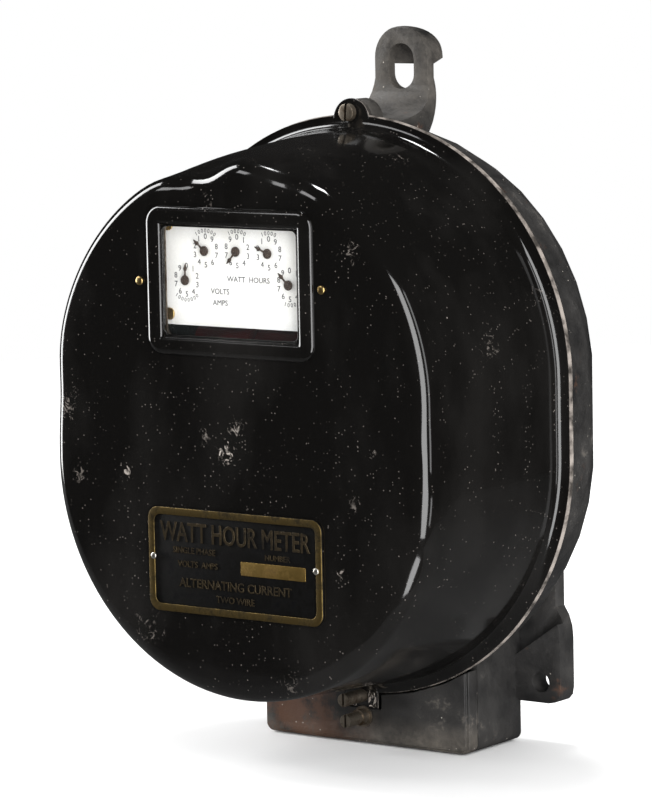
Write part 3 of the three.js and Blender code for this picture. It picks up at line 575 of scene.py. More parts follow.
GLASS = ClearGlass("window glass")


# ------------------------------------------------------------------ meshes
def spawn(name: str, mesh: bpy.types.Mesh) -> bpy.types.Object:
    """Links a new object that holds a mesh.

    Args:
        name: The object's name.
        mesh: Its mesh.

    Returns:
        The object.
    """
    made = bpy.data.objects.new(name, mesh)
    bpy.context.scene.collection.objects.link(made)
    return made


def smooth(mesh: bpy.types.Mesh, degrees: float = 35.0) -> None:
    """Shades a mesh smooth, apart from edges that are sharper than an angle."""
    mesh.shade_smooth()
    mesh.set_sharp_from_angle(angle=math.radians(degrees))


def settle(piece: bpy.types.Object, body: str, slot: str, *nodes: str,
           finish: Finish | None = None) -> bpy.types.Object:
    """Hands a finished piece to its body.

    Args:
        piece: The piece, at the origin.
        body: The body it rides on.
        slot: The record's material slot; not used.
        *nodes: CAD nodes that it stands for.
        finish: Its finish, where it isn't set already.

    Returns:
        The piece.
    """
    if finish is not None:
        piece.data.materials.clear()
        piece.data.materials.append(finish.material())
    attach(piece, str(body))
    if nodes:
        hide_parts(*nodes)
    log.info("%s: %d faces", piece.name, len(piece.data.polygons))
    return piece


def plain(piece: bpy.types.Object) -> bpy.types.Object:
    """Replaces a piece's live modifiers with the mesh that they give.

    Args:
        piece: The piece.

    Returns:
        The same piece, with a plain mesh.
    """
    bpy.context.view_layer.update()
    evaluated = piece.evaluated_get(bpy.context.evaluated_depsgraph_get())
    mesh = bpy.data.meshes.new_from_object(evaluated)
    piece.modifiers.clear()
    piece.data = mesh
    return piece


def dress(finish: Finish, *nodes: str) -> None:
    """Gives CAD nodes that stay in view a finish.

    Args:
        finish: The finish.
        *nodes: The nodes' names.
    """
    for name in nodes:
        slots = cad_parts[name].data.materials
        slots.clear()
        slots.append(finish.material())


def eased_copy(node: str, name: str, radius: float,
               cutters: Sequence[bpy.types.Object] = ()) -> bpy.types.Object:
    """Copies a CAD node with its sharp edges rounded, as a casting's are.

    Args:
        node: The CAD node.
        name: The copy's name.
        radius: The rounding, in millimetres.
        cutters: Pieces to cut away first.

    Returns:
        The copy, with a plain mesh.
    """
    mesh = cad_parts[node].data.copy()
    work = bmesh.new()
    work.from_mesh(mesh)
    bmesh.ops.remove_doubles(work, verts=work.verts, dist=1e-6)
    bmesh.ops.dissolve_limit(work, angle_limit=math.radians(1), verts=work.verts, edges=work.edges)
    work.to_mesh(mesh)
    work.free()
    piece = spawn(name, mesh)
    for cutter in cutters:
        cut = piece.modifiers.new("cut", "BOOLEAN")
        cut.operation, cut.solver, cut.object = "DIFFERENCE", "EXACT", cutter
    bevel = piece.modifiers.new("edges", "BEVEL")
    bevel.width = radius * MM
    bevel.segments = 3
    bevel.miter_outer = "MITER_ARC"
    bevel.limit_method = "ANGLE"
    bevel.angle_limit = math.radians(32)
    bevel.use_clamp_overlap = True
    plain(piece)
    smooth(piece.data, 30)
    return piece


# ------------------------------------------------------------------ geometry nodes
class Recipe(Graph):
    """A geometry tree with named inputs, run once on an object and then removed."""

    def __init__(self, name: str) -> None:
        """Makes an empty geometry tree.

        Args:
            name: The tree's name.
        """
        super().__init__(bpy.data.node_groups.new(name, "GeometryNodeTree"))
        face = self.tree.interface
        face.new_socket("Geometry", in_out="INPUT", socket_type="NodeSocketGeometry")
        face.new_socket("Geometry", in_out="OUTPUT", socket_type="NodeSocketGeometry")
        self.source = self.tree.nodes.new("NodeGroupInput")
        self.identifiers: dict[str, str] = {}

    def size(self, name: str, kind: str = "Float") -> bpy.types.NodeSocket:
        """Adds a named input.

        Args:
            name: The input's name.
            kind: The kind of its socket.

        Returns:
            The socket that gives its value.
        """
        made = self.tree.interface.new_socket(name, in_out="INPUT", socket_type=f"NodeSocket{kind}")
        self.identifiers[name] = made.identifier
        return self.source.outputs[name]

    def shift(self, geometry: bpy.types.NodeSocket, z: object) -> bpy.types.NodeSocket:
        """Moves a shape up its own Z by a number or a socket."""
        sockets = {"Geometry": geometry, "Translation": self.vector(0.0, 0.0, z)}
        return self.node("GeometryNodeTransform", sockets).outputs[0]

    def rounded(self, curve: bpy.types.NodeSocket, radius: bpy.types.NodeSocket, facets: int,
                limited: bool = False) -> bpy.types.NodeSocket:
        """Rounds a curve's corners.

        Args:
            curve: The curve.
            radius: The radius at each corner.
            facets: Facets across each corner.
            limited: Whether neighbouring roundings are kept from meeting.

        Returns:
            The rounded curve.
        """
        sockets = {"Curve": curve, "Radius": radius, "Count": facets, "Limit Radius": limited}
        return self.node("GeometryNodeFilletCurve", sockets, mode="POLY").outputs[0]

    def close(self, geometry: bpy.types.NodeSocket) -> None:
        """Ends the tree in Realize Instances and Set Material.

        Args:
            geometry: The shape to hand over.
        """
        finish = self.size("Finish", "Material")
        real = self.node("GeometryNodeRealizeInstances", {0: geometry}).outputs[0]
        dressed = self.node("GeometryNodeSetMaterial", {0: real, 2: finish}).outputs[0]
        self.node("NodeGroupOutput", {0: dressed})

    def run(self, name: str, points: Iterable[Point] = (), **values: object) -> bpy.types.Object:
        """Runs the tree and keeps its plain mesh.

        Args:
            name: The piece's name.
            points: Places in millimetres, as the vertices that the tree starts from.
            **values: The inputs, with _ for a space.

        Returns:
            The piece.
        """
        mesh = bpy.data.meshes.new(name)
        mesh.from_pydata([tuple(v * MM for v in p) for p in points], [], [])
        piece = spawn(name, mesh)
        modifier = piece.modifiers.new("build", "NODES")
        modifier.node_group = self.tree
        for key, value in values.items():
            modifier[self.identifiers[key.replace("_", " ")]] = value
        plain(piece)
        smooth(piece.data)
        return piece


PROFILE = ("Face", "Rim", "Root", "Flange Face", "Flange", "Lip", "Rim Radius", "Fillet", "Straight", "Lift")
LIP_BEND = 0.6
STRAIGHT_SHARE = 0.06
FACING_FRONT = (math.pi / 2, 0.0, 0.0)


def swept_cover() -> Recipe:
    """The rule of a pressed cover: one profile, with rounded corners, round an obround.

    Returns:
        The recipe.
    """
    made = Recipe("pressed obround sheet")
    reach = {name: made.size(name) for name in PROFILE}
    rings, columns = made.size("Rings", "Int"), made.size("Columns", "Int")
    corners = [(0.0, reach["Face"]), (reach["Rim"], reach["Face"]), (reach["Root"], reach["Flange Face"]),
               (reach["Flange"], reach["Flange Face"]), (reach["Flange"], reach["Lip"])]
    index = made.node("GeometryNodeInputIndex").outputs[0]

    def choose(kind: str, options: Sequence[object]) -> bpy.types.NodeSocket:
        """Gives each point of the profile its own value.

        Args:
            kind: The kind of value.
            options: The values or sockets, in the points' order.

        Returns:
            The value at each point.
        """
        switch = made.node("GeometryNodeIndexSwitch", data_type=kind)
        while len(switch.index_switch_items) < len(options):
            switch.index_switch_items.new()
        made.tree.links.new(index, switch.inputs[0])
        for number, option in enumerate(options):
            if isinstance(option, bpy.types.NodeSocket):
                made.tree.links.new(option, switch.inputs[number + 1])
            else:
                switch.inputs[number + 1].default_value = option
        return switch.outputs[0]

    spots = choose("VECTOR", [made.vector(x, y, 0.0) for x, y in corners])
    line = made.node("GeometryNodeMeshLine", {"Count": len(corners)}).outputs[0]
    line = made.node("GeometryNodeSetPosition", {0: line, 2: spots}).outputs[0]
    curve = made.node("GeometryNodeMeshToCurve", {0: line}).outputs[0]
    radii = choose("FLOAT", [0.0, reach["Rim Radius"], reach["Fillet"], LIP_BEND * MM, 0.0])
    profile = made.rounded(curve, radii, 12, limited=True)

    grid = made.node("GeometryNodeMeshGrid", {"Size X": 1.0, "Size Y": 1.0, "Vertices X": columns,
                                              "Vertices Y": rings})
    spot = made.node("ShaderNodeSeparateXYZ", {0: made.node("GeometryNodeInputPosition").outputs[0]})
    turn = made.maths("ADD", spot.outputs[0], 0.5)
    along = made.maths("ADD", spot.outputs[1], 0.5)
    sample = made.node("GeometryNodeSampleCurve", {"Curves": profile, "Factor": along}, mode="FACTOR",
                       use_all_curves=True)
    hit = made.node("ShaderNodeSeparateXYZ", {0: sample.outputs["Position"]})
    radius, depth = hit.outputs[0], hit.outputs[1]
    angle = made.maths("ADD", made.remap(turn, STRAIGHT_SHARE, 0.5, 0.0, math.pi),
                       made.remap(turn, 0.5 + STRAIGHT_SHARE, 1.0, 0.0, math.pi))
    low = made.maths("MULTIPLY", reach["Straight"], -1.0)
    twice = made.maths("MULTIPLY", reach["Straight"], 2.0)
    shift = made.maths("SUBTRACT", made.remap(turn, 0.0, STRAIGHT_SHARE, low, reach["Straight"]),
                       made.remap(turn, 0.5, 0.5 + STRAIGHT_SHARE, 0.0, twice))
    raised = made.remap(depth, reach["Face"], reach["Flange Face"], 0.0, reach["Lift"])
    x = made.maths("MULTIPLY", radius, made.maths("COSINE", angle))
    z = made.maths("MULTIPLY", radius, made.maths("SINE", angle))
    z = made.maths("ADD", made.maths("ADD", z, shift), raised)
    swept = made.node("GeometryNodeSetPosition", {0: grid.outputs[0], 2: made.vector(x, depth, z)}).outputs[0]
    made.close(made.node("GeometryNodeMergeByDistance", {0: swept}).outputs[0])
    return made


def swept_frame() -> Recipe:
    """The rule of a raised frame: a rolled section carried round a rounded rectangle.

    Returns:
        The recipe.
    """
    made = Recipe("rolled window frame")
    width, height, corner = made.size("Width"), made.size("Height"), made.size("Corner")
    roll, rise, middle, face = made.size("Roll"), made.size("Rise"), made.size("Middle"), made.size("Face")
    path = made.node("GeometryNodeCurvePrimitiveQuadrilateral", {0: width, 1: height}).outputs[0]
    path = made.rounded(path, corner, 10)
    circle = made.node("GeometryNodeCurvePrimitiveCircle", {"Resolution": 28, "Radius": 1.0}).outputs[0]
    section = made.node("GeometryNodeTransform", {"Geometry": circle, "Scale": made.vector(roll, rise, 1.0)})
    ring = made.node("GeometryNodeCurveToMesh", {0: path, 1: section.outputs[0]}).outputs[0]
    turned = made.node("GeometryNodeTransform", {"Geometry": ring, "Rotation": FACING_FRONT,
                                                 "Translation": made.vector(0.0, face, middle)})
    made.close(turned.outputs[0])
    return made


def wound_coil() -> Recipe:
    """The rule of a coil: one turn of covered wire round a limb, repeated up it.

    Returns:
        The recipe.
    """
    made = Recipe("turns of covered wire")
    width, depth, corner = made.size("Width"), made.size("Depth"), made.size("Corner")
    wire, turns, pitch = made.size("Wire"), made.size("Turns", "Int"), made.size("Pitch")
    path = made.node("GeometryNodeCurvePrimitiveQuadrilateral", {0: width, 1: depth}).outputs[0]
    path = made.rounded(path, corner, 6)
    section = made.node("GeometryNodeCurvePrimitiveCircle", {"Resolution": 10, "Radius": wire}).outputs[0]
    turn = made.node("GeometryNodeCurveToMesh", {0: path, 1: section}).outputs[0]
    apart = made.vector(0.0, 0.0, pitch)
    line = made.node("GeometryNodeMeshLine", {"Count": turns, "Offset": apart}).outputs[0]
    stacked = made.node("GeometryNodeInstanceOnPoints", {"Points": line, "Instance": turn}).outputs[0]
    places = {"Points": made.source.outputs[0], "Instance": stacked}
    made.close(made.node("GeometryNodeInstanceOnPoints", places).outputs[0])
    return made


def slotted_heads() -> Recipe:
    """The rule of slotted screws: a domed head, a slot and a shank, at each point and facing -Y.

    Returns:
        The recipe.
    """
    made = Recipe("slotted screws")
    radius, height, dome = made.size("Radius"), made.size("Height"), made.size("Dome")
    slot_width, slot_depth = made.size("Slot Width"), made.size("Slot Depth")
    shank_radius, shank = made.size("Shank Radius"), made.size("Shank")
    turn, spread, seed = made.size("Turn"), made.size("Spread"), made.size("Seed", "Int")
    drum = {"Vertices": 40, "Radius": radius, "Depth": height}
    head = made.node("GeometryNodeMeshCylinder", drum).outputs[0]
    head = made.shift(head, made.maths("MULTIPLY", height, 0.5))
    ball = made.node("GeometryNodeMeshUVSphere", {"Segments": 40, "Rings": 16, "Radius": 1.0}).outputs[0]
    ball = made.node("GeometryNodeTransform", {"Geometry": ball, "Scale": made.vector(radius, radius, dome),
                                               "Translation": made.vector(0.0, 0.0, height)}).outputs[0]
    round_stem = {"Vertices": 20, "Radius": shank_radius, "Depth": shank}
    stem = made.node("GeometryNodeMeshCylinder", round_stem).outputs[0]
    stem = made.shift(stem, made.maths("MULTIPLY", shank, -0.45))
    whole = made.node("GeometryNodeMeshBoolean", operation="UNION")
    for part in (head, ball, stem):
        made.tree.links.new(part, whole.inputs[1])
    long, deep = made.maths("MULTIPLY", radius, 3.0), made.maths("MULTIPLY", slot_depth, 2.0)
    cutter = made.node("GeometryNodeMeshCube", {0: made.vector(long, slot_width, deep)}).outputs[0]
    cutter = made.shift(cutter, made.maths("ADD", height, dome))
    cut = made.node("GeometryNodeMeshBoolean", {0: whole.outputs[0], 1: cutter}, operation="DIFFERENCE")
    points = made.node("GeometryNodeMeshToPoints", {0: made.source.outputs[0]}).outputs[0]
    low, high = made.maths("SUBTRACT", turn, spread), made.maths("ADD", turn, spread)
    chance = made.node("FunctionNodeRandomValue", {2: low, 3: high, 8: seed}, data_type="FLOAT")
    spin = made.vector(0.0, 0.0, chance.outputs[1])
    turned = made.node("FunctionNodeRotateEuler", {0: FACING_FRONT, 1: spin}, rotation_type="EULER",
                       space="LOCAL").outputs[0]
    places = {"Points": points, "Instance": cut.outputs[0], "Rotation": turned}
    made.close(made.node("GeometryNodeInstanceOnPoints", places).outputs[0])
    return made


def threaded_studs() -> Recipe:
    """The rule of a stud's thread: a spiral ridge, at each point and along Y.

    Returns:
        The recipe.
    """
    made = Recipe("threaded studs")
    radius, length, pitch = made.size("Radius"), made.size("Length"), made.size("Pitch")
    turns = made.maths("DIVIDE", length, pitch)
    spiral = {"Resolution": 28, "Rotations": turns, "Start Radius": radius, "End Radius": radius,
              "Height": length}
    path = made.node("GeometryNodeCurveSpiral", spiral).outputs[0]
    section = {"Resolution": 6, "Radius": made.maths("MULTIPLY", pitch, 0.42)}
    ridge = made.node("GeometryNodeCurvePrimitiveCircle", section).outputs[0]
    swept = made.node("GeometryNodeCurveToMesh", {0: path, 1: ridge, "Fill Caps": True}).outputs[0]
    points = made.node("GeometryNodeMeshToPoints", {0: made.source.outputs[0]}).outputs[0]
    places = {"Points": points, "Instance": swept, "Rotation": FACING_FRONT}
    made.close(made.node("GeometryNodeInstanceOnPoints", places).outputs[0])
    return made


@dataclass(frozen=True)
class Head:
    """The sizes of a screw or rivet: its head, its dome, its shank, its slot and how the slot is turned."""

    radius: float
    height: float
    dome: float
    shank_radius: float
    shank: float
    slot_width: float = 0.05
    slot_depth: float = 0.0
    turn: float = 0.0
    spread: float = 0.0
    seed: int = 1

    def make(self, name: str, places: Iterable[Point], finish: Finish) -> bpy.types.Object:
        """Makes one head at each place, as one piece.

        Args:
            name: The piece's name.
            places: Where the heads' undersides stand, in millimetres.
            finish: Their finish.

        Returns:
            The piece.
        """
        return slotted_heads().run(
            name, places, Radius=self.radius * MM, Height=self.height * MM, Dome=self.dome * MM,
            Slot_Width=self.slot_width * MM, Slot_Depth=self.slot_depth * MM,
            Shank_Radius=self.shank_radius * MM, Shank=self.shank * MM, Turn=self.turn,
            Spread=self.spread, Seed=self.seed, Finish=finish.material())


WINDOW_RIVET = Head(2.0, 0.4, 0.8, 0.9, 5)
PLATE_RIVET = Head(1.5, 0.2, 0.6, 0.8, 3)
TOP_SCREW = Head(4.05, 2.8, 0.45, 2.1, 20, slot_width=1.2, slot_depth=1.4, turn=1.5, seed=2)
DIAL_SCREW = Head(2.75, 0.55, 0.55, 1.0, 3, slot_width=0.7, slot_depth=0.7, turn=0.9, spread=0.7, seed=5)


# ------------------------------------------------------------------ the cover
@dataclass(frozen=True)
class Dent:
    """A knock in the sheet: its place, its reach and how far it goes in."""

    place: Point
    reach: float
    push: Point


@dataclass
class Cover:
    """The enamelled cover, its window's frame and the plate on its face."""

    face: float = -148.5
    rim: float = 104.7
    rim_radius: float = 8.0
    root: float = 111.9
    fillet: float = 5.0
    flange_face: float = -54.2
    flange: float = 117.9
    lip: float = -51.6
    straight: float = 17.3
    lift: float = 2.0
    sheet: float = 1.2
    window_x: float = 38.0
    window_low: float = 42.5
    window_high: float = 92.5
    window_corner: float = 3.6
    window_rivet: Spot = (50.8, 66.7)
    plate_rivet: Spot = (45.7, -58.3)
    bead: float = 8.5
    bead_rise: float = 2.5
    top_tab: float = 144.7
    tab_half_width: float = 10.0
    top_tab_foot: float = 128.0
    bottom_tab: float = -140.0
    bottom_tab_foot: float = -128.5
    bottom_tab_half_width: float = 9.0
    notch: float = 3.7
    top_screw: float = 138.3
    stud: float = -134.5
    dents: tuple[Dent, ...] = (
        Dent((-22, -144, 119), 17, (0, 5.5, -5.0)),
        Dent((24, -147, 113), 15, (0, 2.6, -3.6)),
        Dent((102, -147, -24), 12, (-1.9, 1.9, 0)),
        Dent((95, -147, -50), 11, (-2.1, 2.2, 1.3)),
        Dent((104, -146, 2), 8, (-0.5, 0.5, 0)),
        Dent((103, -147, 20), 22, (-0.7, 0.8, 0)),
        Dent((70, -148.5, -74), 13, (0, 0.9, 0)),
        Dent((60, -148.5, -86), 9, (0, -0.2, 0)),
        Dent((-96, -148, 16), 18, (0.8, 1.3, 0)),
    )

    def build(self) -> None:
        """Makes and dresses every piece of the cover."""
        self.shell()
        self.window()
        self.rivets()
        NamePlate().build()
        dress(DULL_STEEL, "window_retainer")
        dress(GLASS, "window_glass")

    def shell(self) -> None:
        """Sweeps the sheet, knocks it about, thickens it and adds its frame and tabs."""
        keys = [name.replace(" ", "_") for name in PROFILE]
        reach = {key: getattr(self, key.lower()) * MM for key in keys}
        shell = swept_cover().run("cover_sheet", Rings=190, Columns=181, Finish=ENAMEL.material(), **reach)
        work = bmesh.new()
        work.from_mesh(shell.data)
        inside = [f for f in work.faces if self.over_window(f.calc_center_median())]
        bmesh.ops.delete(work, geom=inside, context="FACES")
        for vertex in work.verts:
            vertex.co += self.knock(vertex.co)
        bmesh.ops.remove_doubles(work, verts=work.verts, dist=1e-6)
        bmesh.ops.recalc_face_normals(work, faces=work.faces)
        work.to_mesh(shell.data)
        work.free()
        thick = shell.modifiers.new("sheet", "SOLIDIFY")
        thick.thickness, thick.offset = self.sheet * MM, -1.0
        plain(shell)
        smooth(shell.data, 40)
        settle(shell, Body.COVER, "black_enamel", "cover_shell", finish=ENAMEL)
        self.frame()
        self.tabs()

    def over_window(self, place: Vector) -> bool:
        """Whether a place on the face is under the window's frame or in its opening.

        Args:
            place: The place, in metres.

        Returns:
            True where the sheet is cut away.
        """
        x, y, z = (v / MM for v in place)
        edge = 4.0
        level = y < self.face + 0.6 and abs(x) < self.window_x + edge
        return level and self.window_low - edge < z < self.window_high + edge

    def knock(self, place: Vector) -> Vector:
        """How far the dents move a point of the sheet.

        Args:
            place: The point, in metres.

        Returns:
            The move, in metres.
        """
        moved = Vector((0.0, 0.0, 0.0))
        for dent in self.dents:
            gap = (place / MM - Vector(dent.place)).length / dent.reach
            if gap < 2.5:
                moved += Vector(dent.push) * (math.exp(-gap * gap) * MM)
        return moved

    def frame(self) -> None:
        """Rolls the raised frame round the window."""
        middle = (self.window_low + self.window_high) / 2
        high = self.window_high - self.window_low
        outer = swept_frame().run(
            "window_frame", Width=(2 * self.window_x + self.bead) * MM, Height=(high + self.bead) * MM,
            Corner=self.window_corner * MM, Roll=self.bead / 2 * MM, Rise=(self.bead_rise - 0.02) * MM,
            Middle=middle * MM, Face=self.face * MM, Finish=ENAMEL.material())
        settle(outer, Body.COVER, "black_enamel")

    def tabs(self) -> None:
        """Makes the flange's two tabs: one round the top screw, one notched for the stud."""
        front, back = self.flange_face + 0.02, self.flange_face + self.sheet
        top = tab_outline(0, self.top_tab - self.tab_half_width, self.tab_half_width, self.top_tab_foot)
        settle(pressed("top_tab", top, front, back), Body.COVER, "black_enamel", finish=ENAMEL)
        half, wide, tip, foot = self.notch, self.bottom_tab_half_width, self.bottom_tab, self.bottom_tab_foot
        notch = [(half * math.cos(t), self.stud + half * math.sin(t)) for t in steps(0, math.pi, 14)]
        outline = [(wide, foot), (wide, tip), (half, tip), *notch, (-half, tip), (-wide, tip), (-wide, foot)]
        settle(pressed("bottom_tab", outline, front, back), Body.COVER, "black_enamel", finish=WORN_EDGE)

    def window(self) -> None:
        """Turns an inner lip down from the frame to the glass."""
        wide, low, high, edge = self.window_x, self.window_low, self.window_high, 0.6
        outer = rounded_rectangle(-wide - edge, wide + edge, low - edge, high + edge, self.window_corner)
        inner = rounded_rectangle(-wide + edge, wide - edge, low + edge, high - edge, self.window_corner - 1)
        lip = ring("window_lip", outer, inner, self.face - edge, self.face + self.sheet - 0.05, 0.3)
        settle(lip, Body.COVER, "black_enamel", finish=ENAMEL)

    def rivets(self) -> None:
        """Makes the rivets of the window and the plate, and the top screw."""
        (x, z), (plate_x, plate_z) = self.window_rivet, self.plate_rivet
        spots = [(side * x, self.face - 0.3, z) for side in (-1, 1)]
        window = WINDOW_RIVET.make("window_rivets", spots, BRASS)
        settle(window, Body.COVER, "bright_brass", "window_rivet_left", "window_rivet_right")
        spots = [(side * plate_x, self.face - 1.5, plate_z) for side in (-1, 1)]
        plate = PLATE_RIVET.make("plate_rivets", spots, BRIGHT_STEEL)
        settle(plate, Body.COVER, "dull_steel", "nameplate_rivet_left", "nameplate_rivet_right")
        screw = TOP_SCREW.make("top_screw", [(0, self.flange_face - 1.25, self.top_screw)], DULL_STEEL)
        settle(screw, Body.COVER, "dull_steel", "cover_screw_top")


def steps(start: float, end: float, count: int) -> list[float]:
    """Gives evenly spaced numbers, both ends included."""
    return [start + (end - start) * i / count for i in range(count + 1)]


def rounded_rectangle(left: float, right: float, low: float, high: float, corner: float,
                      facets: int = 8) -> list[Spot]:
    """Outlines a rounded rectangle in X and Z, counterclockwise from its lower right corner.

    Args:
        left: Its left side.
        right: Its right side.
        low: Its lower side.
        high: Its upper side.
        corner: Its corners' radius.
        facets: Facets across each corner.

    Returns:
        The outline's points.
    """
    centres = ((right - corner, low + corner, -90), (right - corner, high - corner, 0),
               (left + corner, high - corner, 90), (left + corner, low + corner, 180))
    return [(x + corner * math.cos(math.radians(t)), z + corner * math.sin(math.radians(t)))
            for x, z, start in centres for t in steps(start, start + 90, facets)]


def tab_outline(x: float, z: float, radius: float, foot: float) -> list[Spot]:
    """Outlines a tab that is round at its tip and runs straight down to a wider foot.

    Args:
        x: The centre of its round tip.
        z: The centre of its round tip, upwards.
        radius: The tip's radius.
        foot: The height of its foot.

    Returns:
        The outline's points.
    """
    arc = [(x + radius * math.cos(t), z + radius * math.sin(t)) for t in steps(0, math.pi, 28)]
    return [(x + radius + 3, foot), *arc, (x - radius - 3, foot)]


def pressed(name: str, outline: Sequence[Spot], front: float, back: float,
            edge: float = 0.3) -> bpy.types.Object:
    """Makes a flat piece of sheet with eased edges.

    Args:
        name: The piece's name.
        outline: Its corners in X and Z, in millimetres.
        front: The front face's y.
        back: The back face's y.
        edge: The rounding of its edges.

    Returns:
        The piece.
    """
    work = bmesh.new()
    face = work.faces.new([work.verts.new((x * MM, front * MM, z * MM)) for x, z in outline])
    grown = bmesh.ops.extrude_face_region(work, geom=[face])
    moved = [v for v in grown["geom"] if isinstance(v, bmesh.types.BMVert)]
    bmesh.ops.translate(work, verts=moved, vec=(0, (back - front) * MM, 0))
    bmesh.ops.recalc_face_normals(work, faces=work.faces)
    mesh = bpy.data.meshes.new(name)
    work.to_mesh(mesh)
    work.free()
    piece = spawn(name, mesh)
    ease(piece, edge)
    return piece


def ease(piece: bpy.types.Object, edge: float, degrees: float = 40) -> None:
    """Rounds a piece's sharp edges and shades it smooth.

    Args:
        piece: The piece.
        edge: The rounding, in millimetres.
        degrees: The least angle of an edge that counts as sharp.
    """
    bevel = piece.modifiers.new("edges", "BEVEL")
    bevel.width, bevel.segments = edge * MM, 3
    bevel.limit_method, bevel.angle_limit = "ANGLE", math.radians(degrees)
    plain(piece)
    smooth(piece.data)


def ring(name: str, outer: Sequence[Spot], inner: Sequence[Spot], front: float, back: float,
         edge: float = 0.3) -> bpy.types.Object:
    """Makes a flat frame between two outlines of as many points.

    Args:
        name: The piece's name.
        outer: The outer outline, in X and Z.
        inner: The inner outline, in X and Z.
        front: The front face's y.
        back: The back face's y.
        edge: The rounding of its edges.

    Returns:
        The piece.
    """
    work = bmesh.new()
    loops = [[work.verts.new((x * MM, y * MM, z * MM)) for x, z in line]
             for line, y in ((outer, front), (inner, front), (inner, back), (outer, back))]
    count = len(outer)
    for first, second in zip(loops, loops[1:] + loops[:1]):
        for i in range(count):
            work.faces.new((first[i], first[(i + 1) % count], second[(i + 1) % count], second[i]))
    bmesh.ops.remove_doubles(work, verts=work.verts, dist=1e-7)
    bmesh.ops.recalc_face_normals(work, faces=work.faces)
    mesh = bpy.data.meshes.new(name)
    work.to_mesh(mesh)
    work.free()
    piece = spawn(name, mesh)
    ease(piece, edge)
    return piece


# ------------------------------------------------------------------ lettering
@dataclass
class Lettering:
    """Flat characters, laid on a plate that faces -Y.

    The weight and the depth are the strokes' swelling and thickness, in units of the font's size.
    """

    name: str
    surface: float
    proud: float = 0.03
    weight: float = 0.012
    depth: float = 0.04
    meshes: dict[str, bpy.types.Mesh] = field(default_factory=dict)
    placed: list[tuple[bpy.types.Mesh, Matrix]] = field(default_factory=list)

    def glyph(self, text: str) -> bpy.types.Mesh:
        """Gives the mesh of a word one unit high, made on first use.

        Args:
            text: The word.

        Returns:
            Its mesh.
        """
        if text not in self.meshes:
            curve = bpy.data.curves.new(f"{self.name} {text}", "FONT")
            curve.body = text
            curve.align_x, curve.align_y = "CENTER", "CENTER"
            curve.resolution_u = 3
            curve.extrude = self.depth / 2
            curve.bevel_depth = self.weight
            curve.bevel_resolution = 0
            holder = bpy.data.objects.new(curve.name, curve)
            bpy.context.scene.collection.objects.link(holder)
            bpy.context.view_layer.update()
            self.meshes[text] = bpy.data.meshes.new_from_object(
                holder.evaluated_get(bpy.context.evaluated_depsgraph_get()))
            bpy.data.objects.remove(holder)
        return self.meshes[text]

    def put(self, text: str, x: float, z: float, height: float, turn: float = 0.0,
            narrow: float = 1.0) -> None:
        """Places a word.

        Args:
            text: The word.
            x: Its centre, to the right.
            z: Its centre, upwards.
            height: The font's size, in millimetres.
            turn: Degrees clockwise.
            narrow: Its width as a share of the font's.
        """
        place = Matrix.Translation((x * MM, (self.surface - self.proud / 2) * MM, z * MM))
        turned = Matrix.Rotation(math.radians(turn), 4, "Y") @ Matrix.Rotation(math.pi / 2, 4, "X")
        size = height * MM
        scaled = Matrix.Diagonal((size * narrow, size, self.proud * MM / (self.depth + 2 * self.weight), 1.0))
        self.placed.append((self.glyph(text), place @ turned @ scaled))

    def build(self, body: str, slot: str, finish: Finish) -> None:
        """Joins the words into one piece.

        Args:
            body: The body it rides on.
            slot: The record's material slot.
            finish: Its finish.
        """
        work = bmesh.new()
        for mesh, place in self.placed:
            start = len(work.verts)
            work.from_mesh(mesh)
            work.verts.ensure_lookup_table()
            bmesh.ops.transform(work, matrix=place, verts=work.verts[start:])
        made = bpy.data.meshes.new(self.name)
        work.to_mesh(made)
        work.free()
        settle(spawn(self.name, made), body, slot, finish=finish)


@dataclass
class NamePlate:
    """The plate on the cover, with a raised border and plain words.

    Each word is given with its centre's x and z, its size and its width as a share of the font's.
    """

    x: float = 48.7
    low: float = -83.3
    high: float = -35.6
    border: float = 3.4
    back: float = -148.8
    front: float = -149.9
    corner: float = 5.5
    sunk: float = 0.45
    words: tuple[tuple[str, float, float, float, float], ...] = (
        ("WATT HOUR METER", 0, -46.9, 12.5, 0.72), ("SINGLE PHASE", -23, -54.8, 4.0, 0.95),
        ("VOLTS  AMPS", -21, -61.0, 4.0, 0.95), ("NUMBER", 24, -54.6, 3.6, 1.0),
        ("ALTERNATING CURRENT", 0, -69.6, 5.8, 0.95), ("TWO WIRE", 0, -75.8, 4.2, 1.0),
    )

    def build(self) -> None:
        """Makes the plate, its border, its raised words and the rubbed field."""
        floor = self.back - self.sunk
        sheet = rounded_rectangle(-self.x, self.x, self.low, self.high, self.corner)
        base = pressed("plate_field", sheet, floor, self.back, 0.1)
        settle(base, Body.COVER, "aged_brass", "nameplate", finish=BRASS_RECESS)
        side, low, high = self.x - self.border, self.low + self.border, self.high - self.border
        inner = rounded_rectangle(-side, side, low, high, 3.2)
        border = ring("plate_border", sheet, inner, self.front, floor + 0.05, 0.35)
        settle(border, Body.COVER, "aged_brass", finish=OLD_BRASS)
        number = rounded_rectangle(3.5, 39.5, -63.6, -57.4, 0.5)
        number_field = pressed("plate_number_field", number, self.front + 0.3, floor + 0.05, 0.1)
        settle(number_field, Body.COVER, "aged_brass", finish=BRASS_FIELD)
        raised = Lettering("plate_words", floor, 0.35)
        for text, x, z, height, narrow in self.words:
            raised.put(text, x, z, height, narrow=narrow)
        raised.build(Body.COVER, "aged_brass", RAISED_BRASS)


# ------------------------------------------------------------------ the register
@dataclass(frozen=True)
class Dial:
    """One small dial: its centre, the way its numbers run, its hand and its multiplier."""

    name: str
    x: float
    z: float
    winding: Winding
    hand: float
    value: str


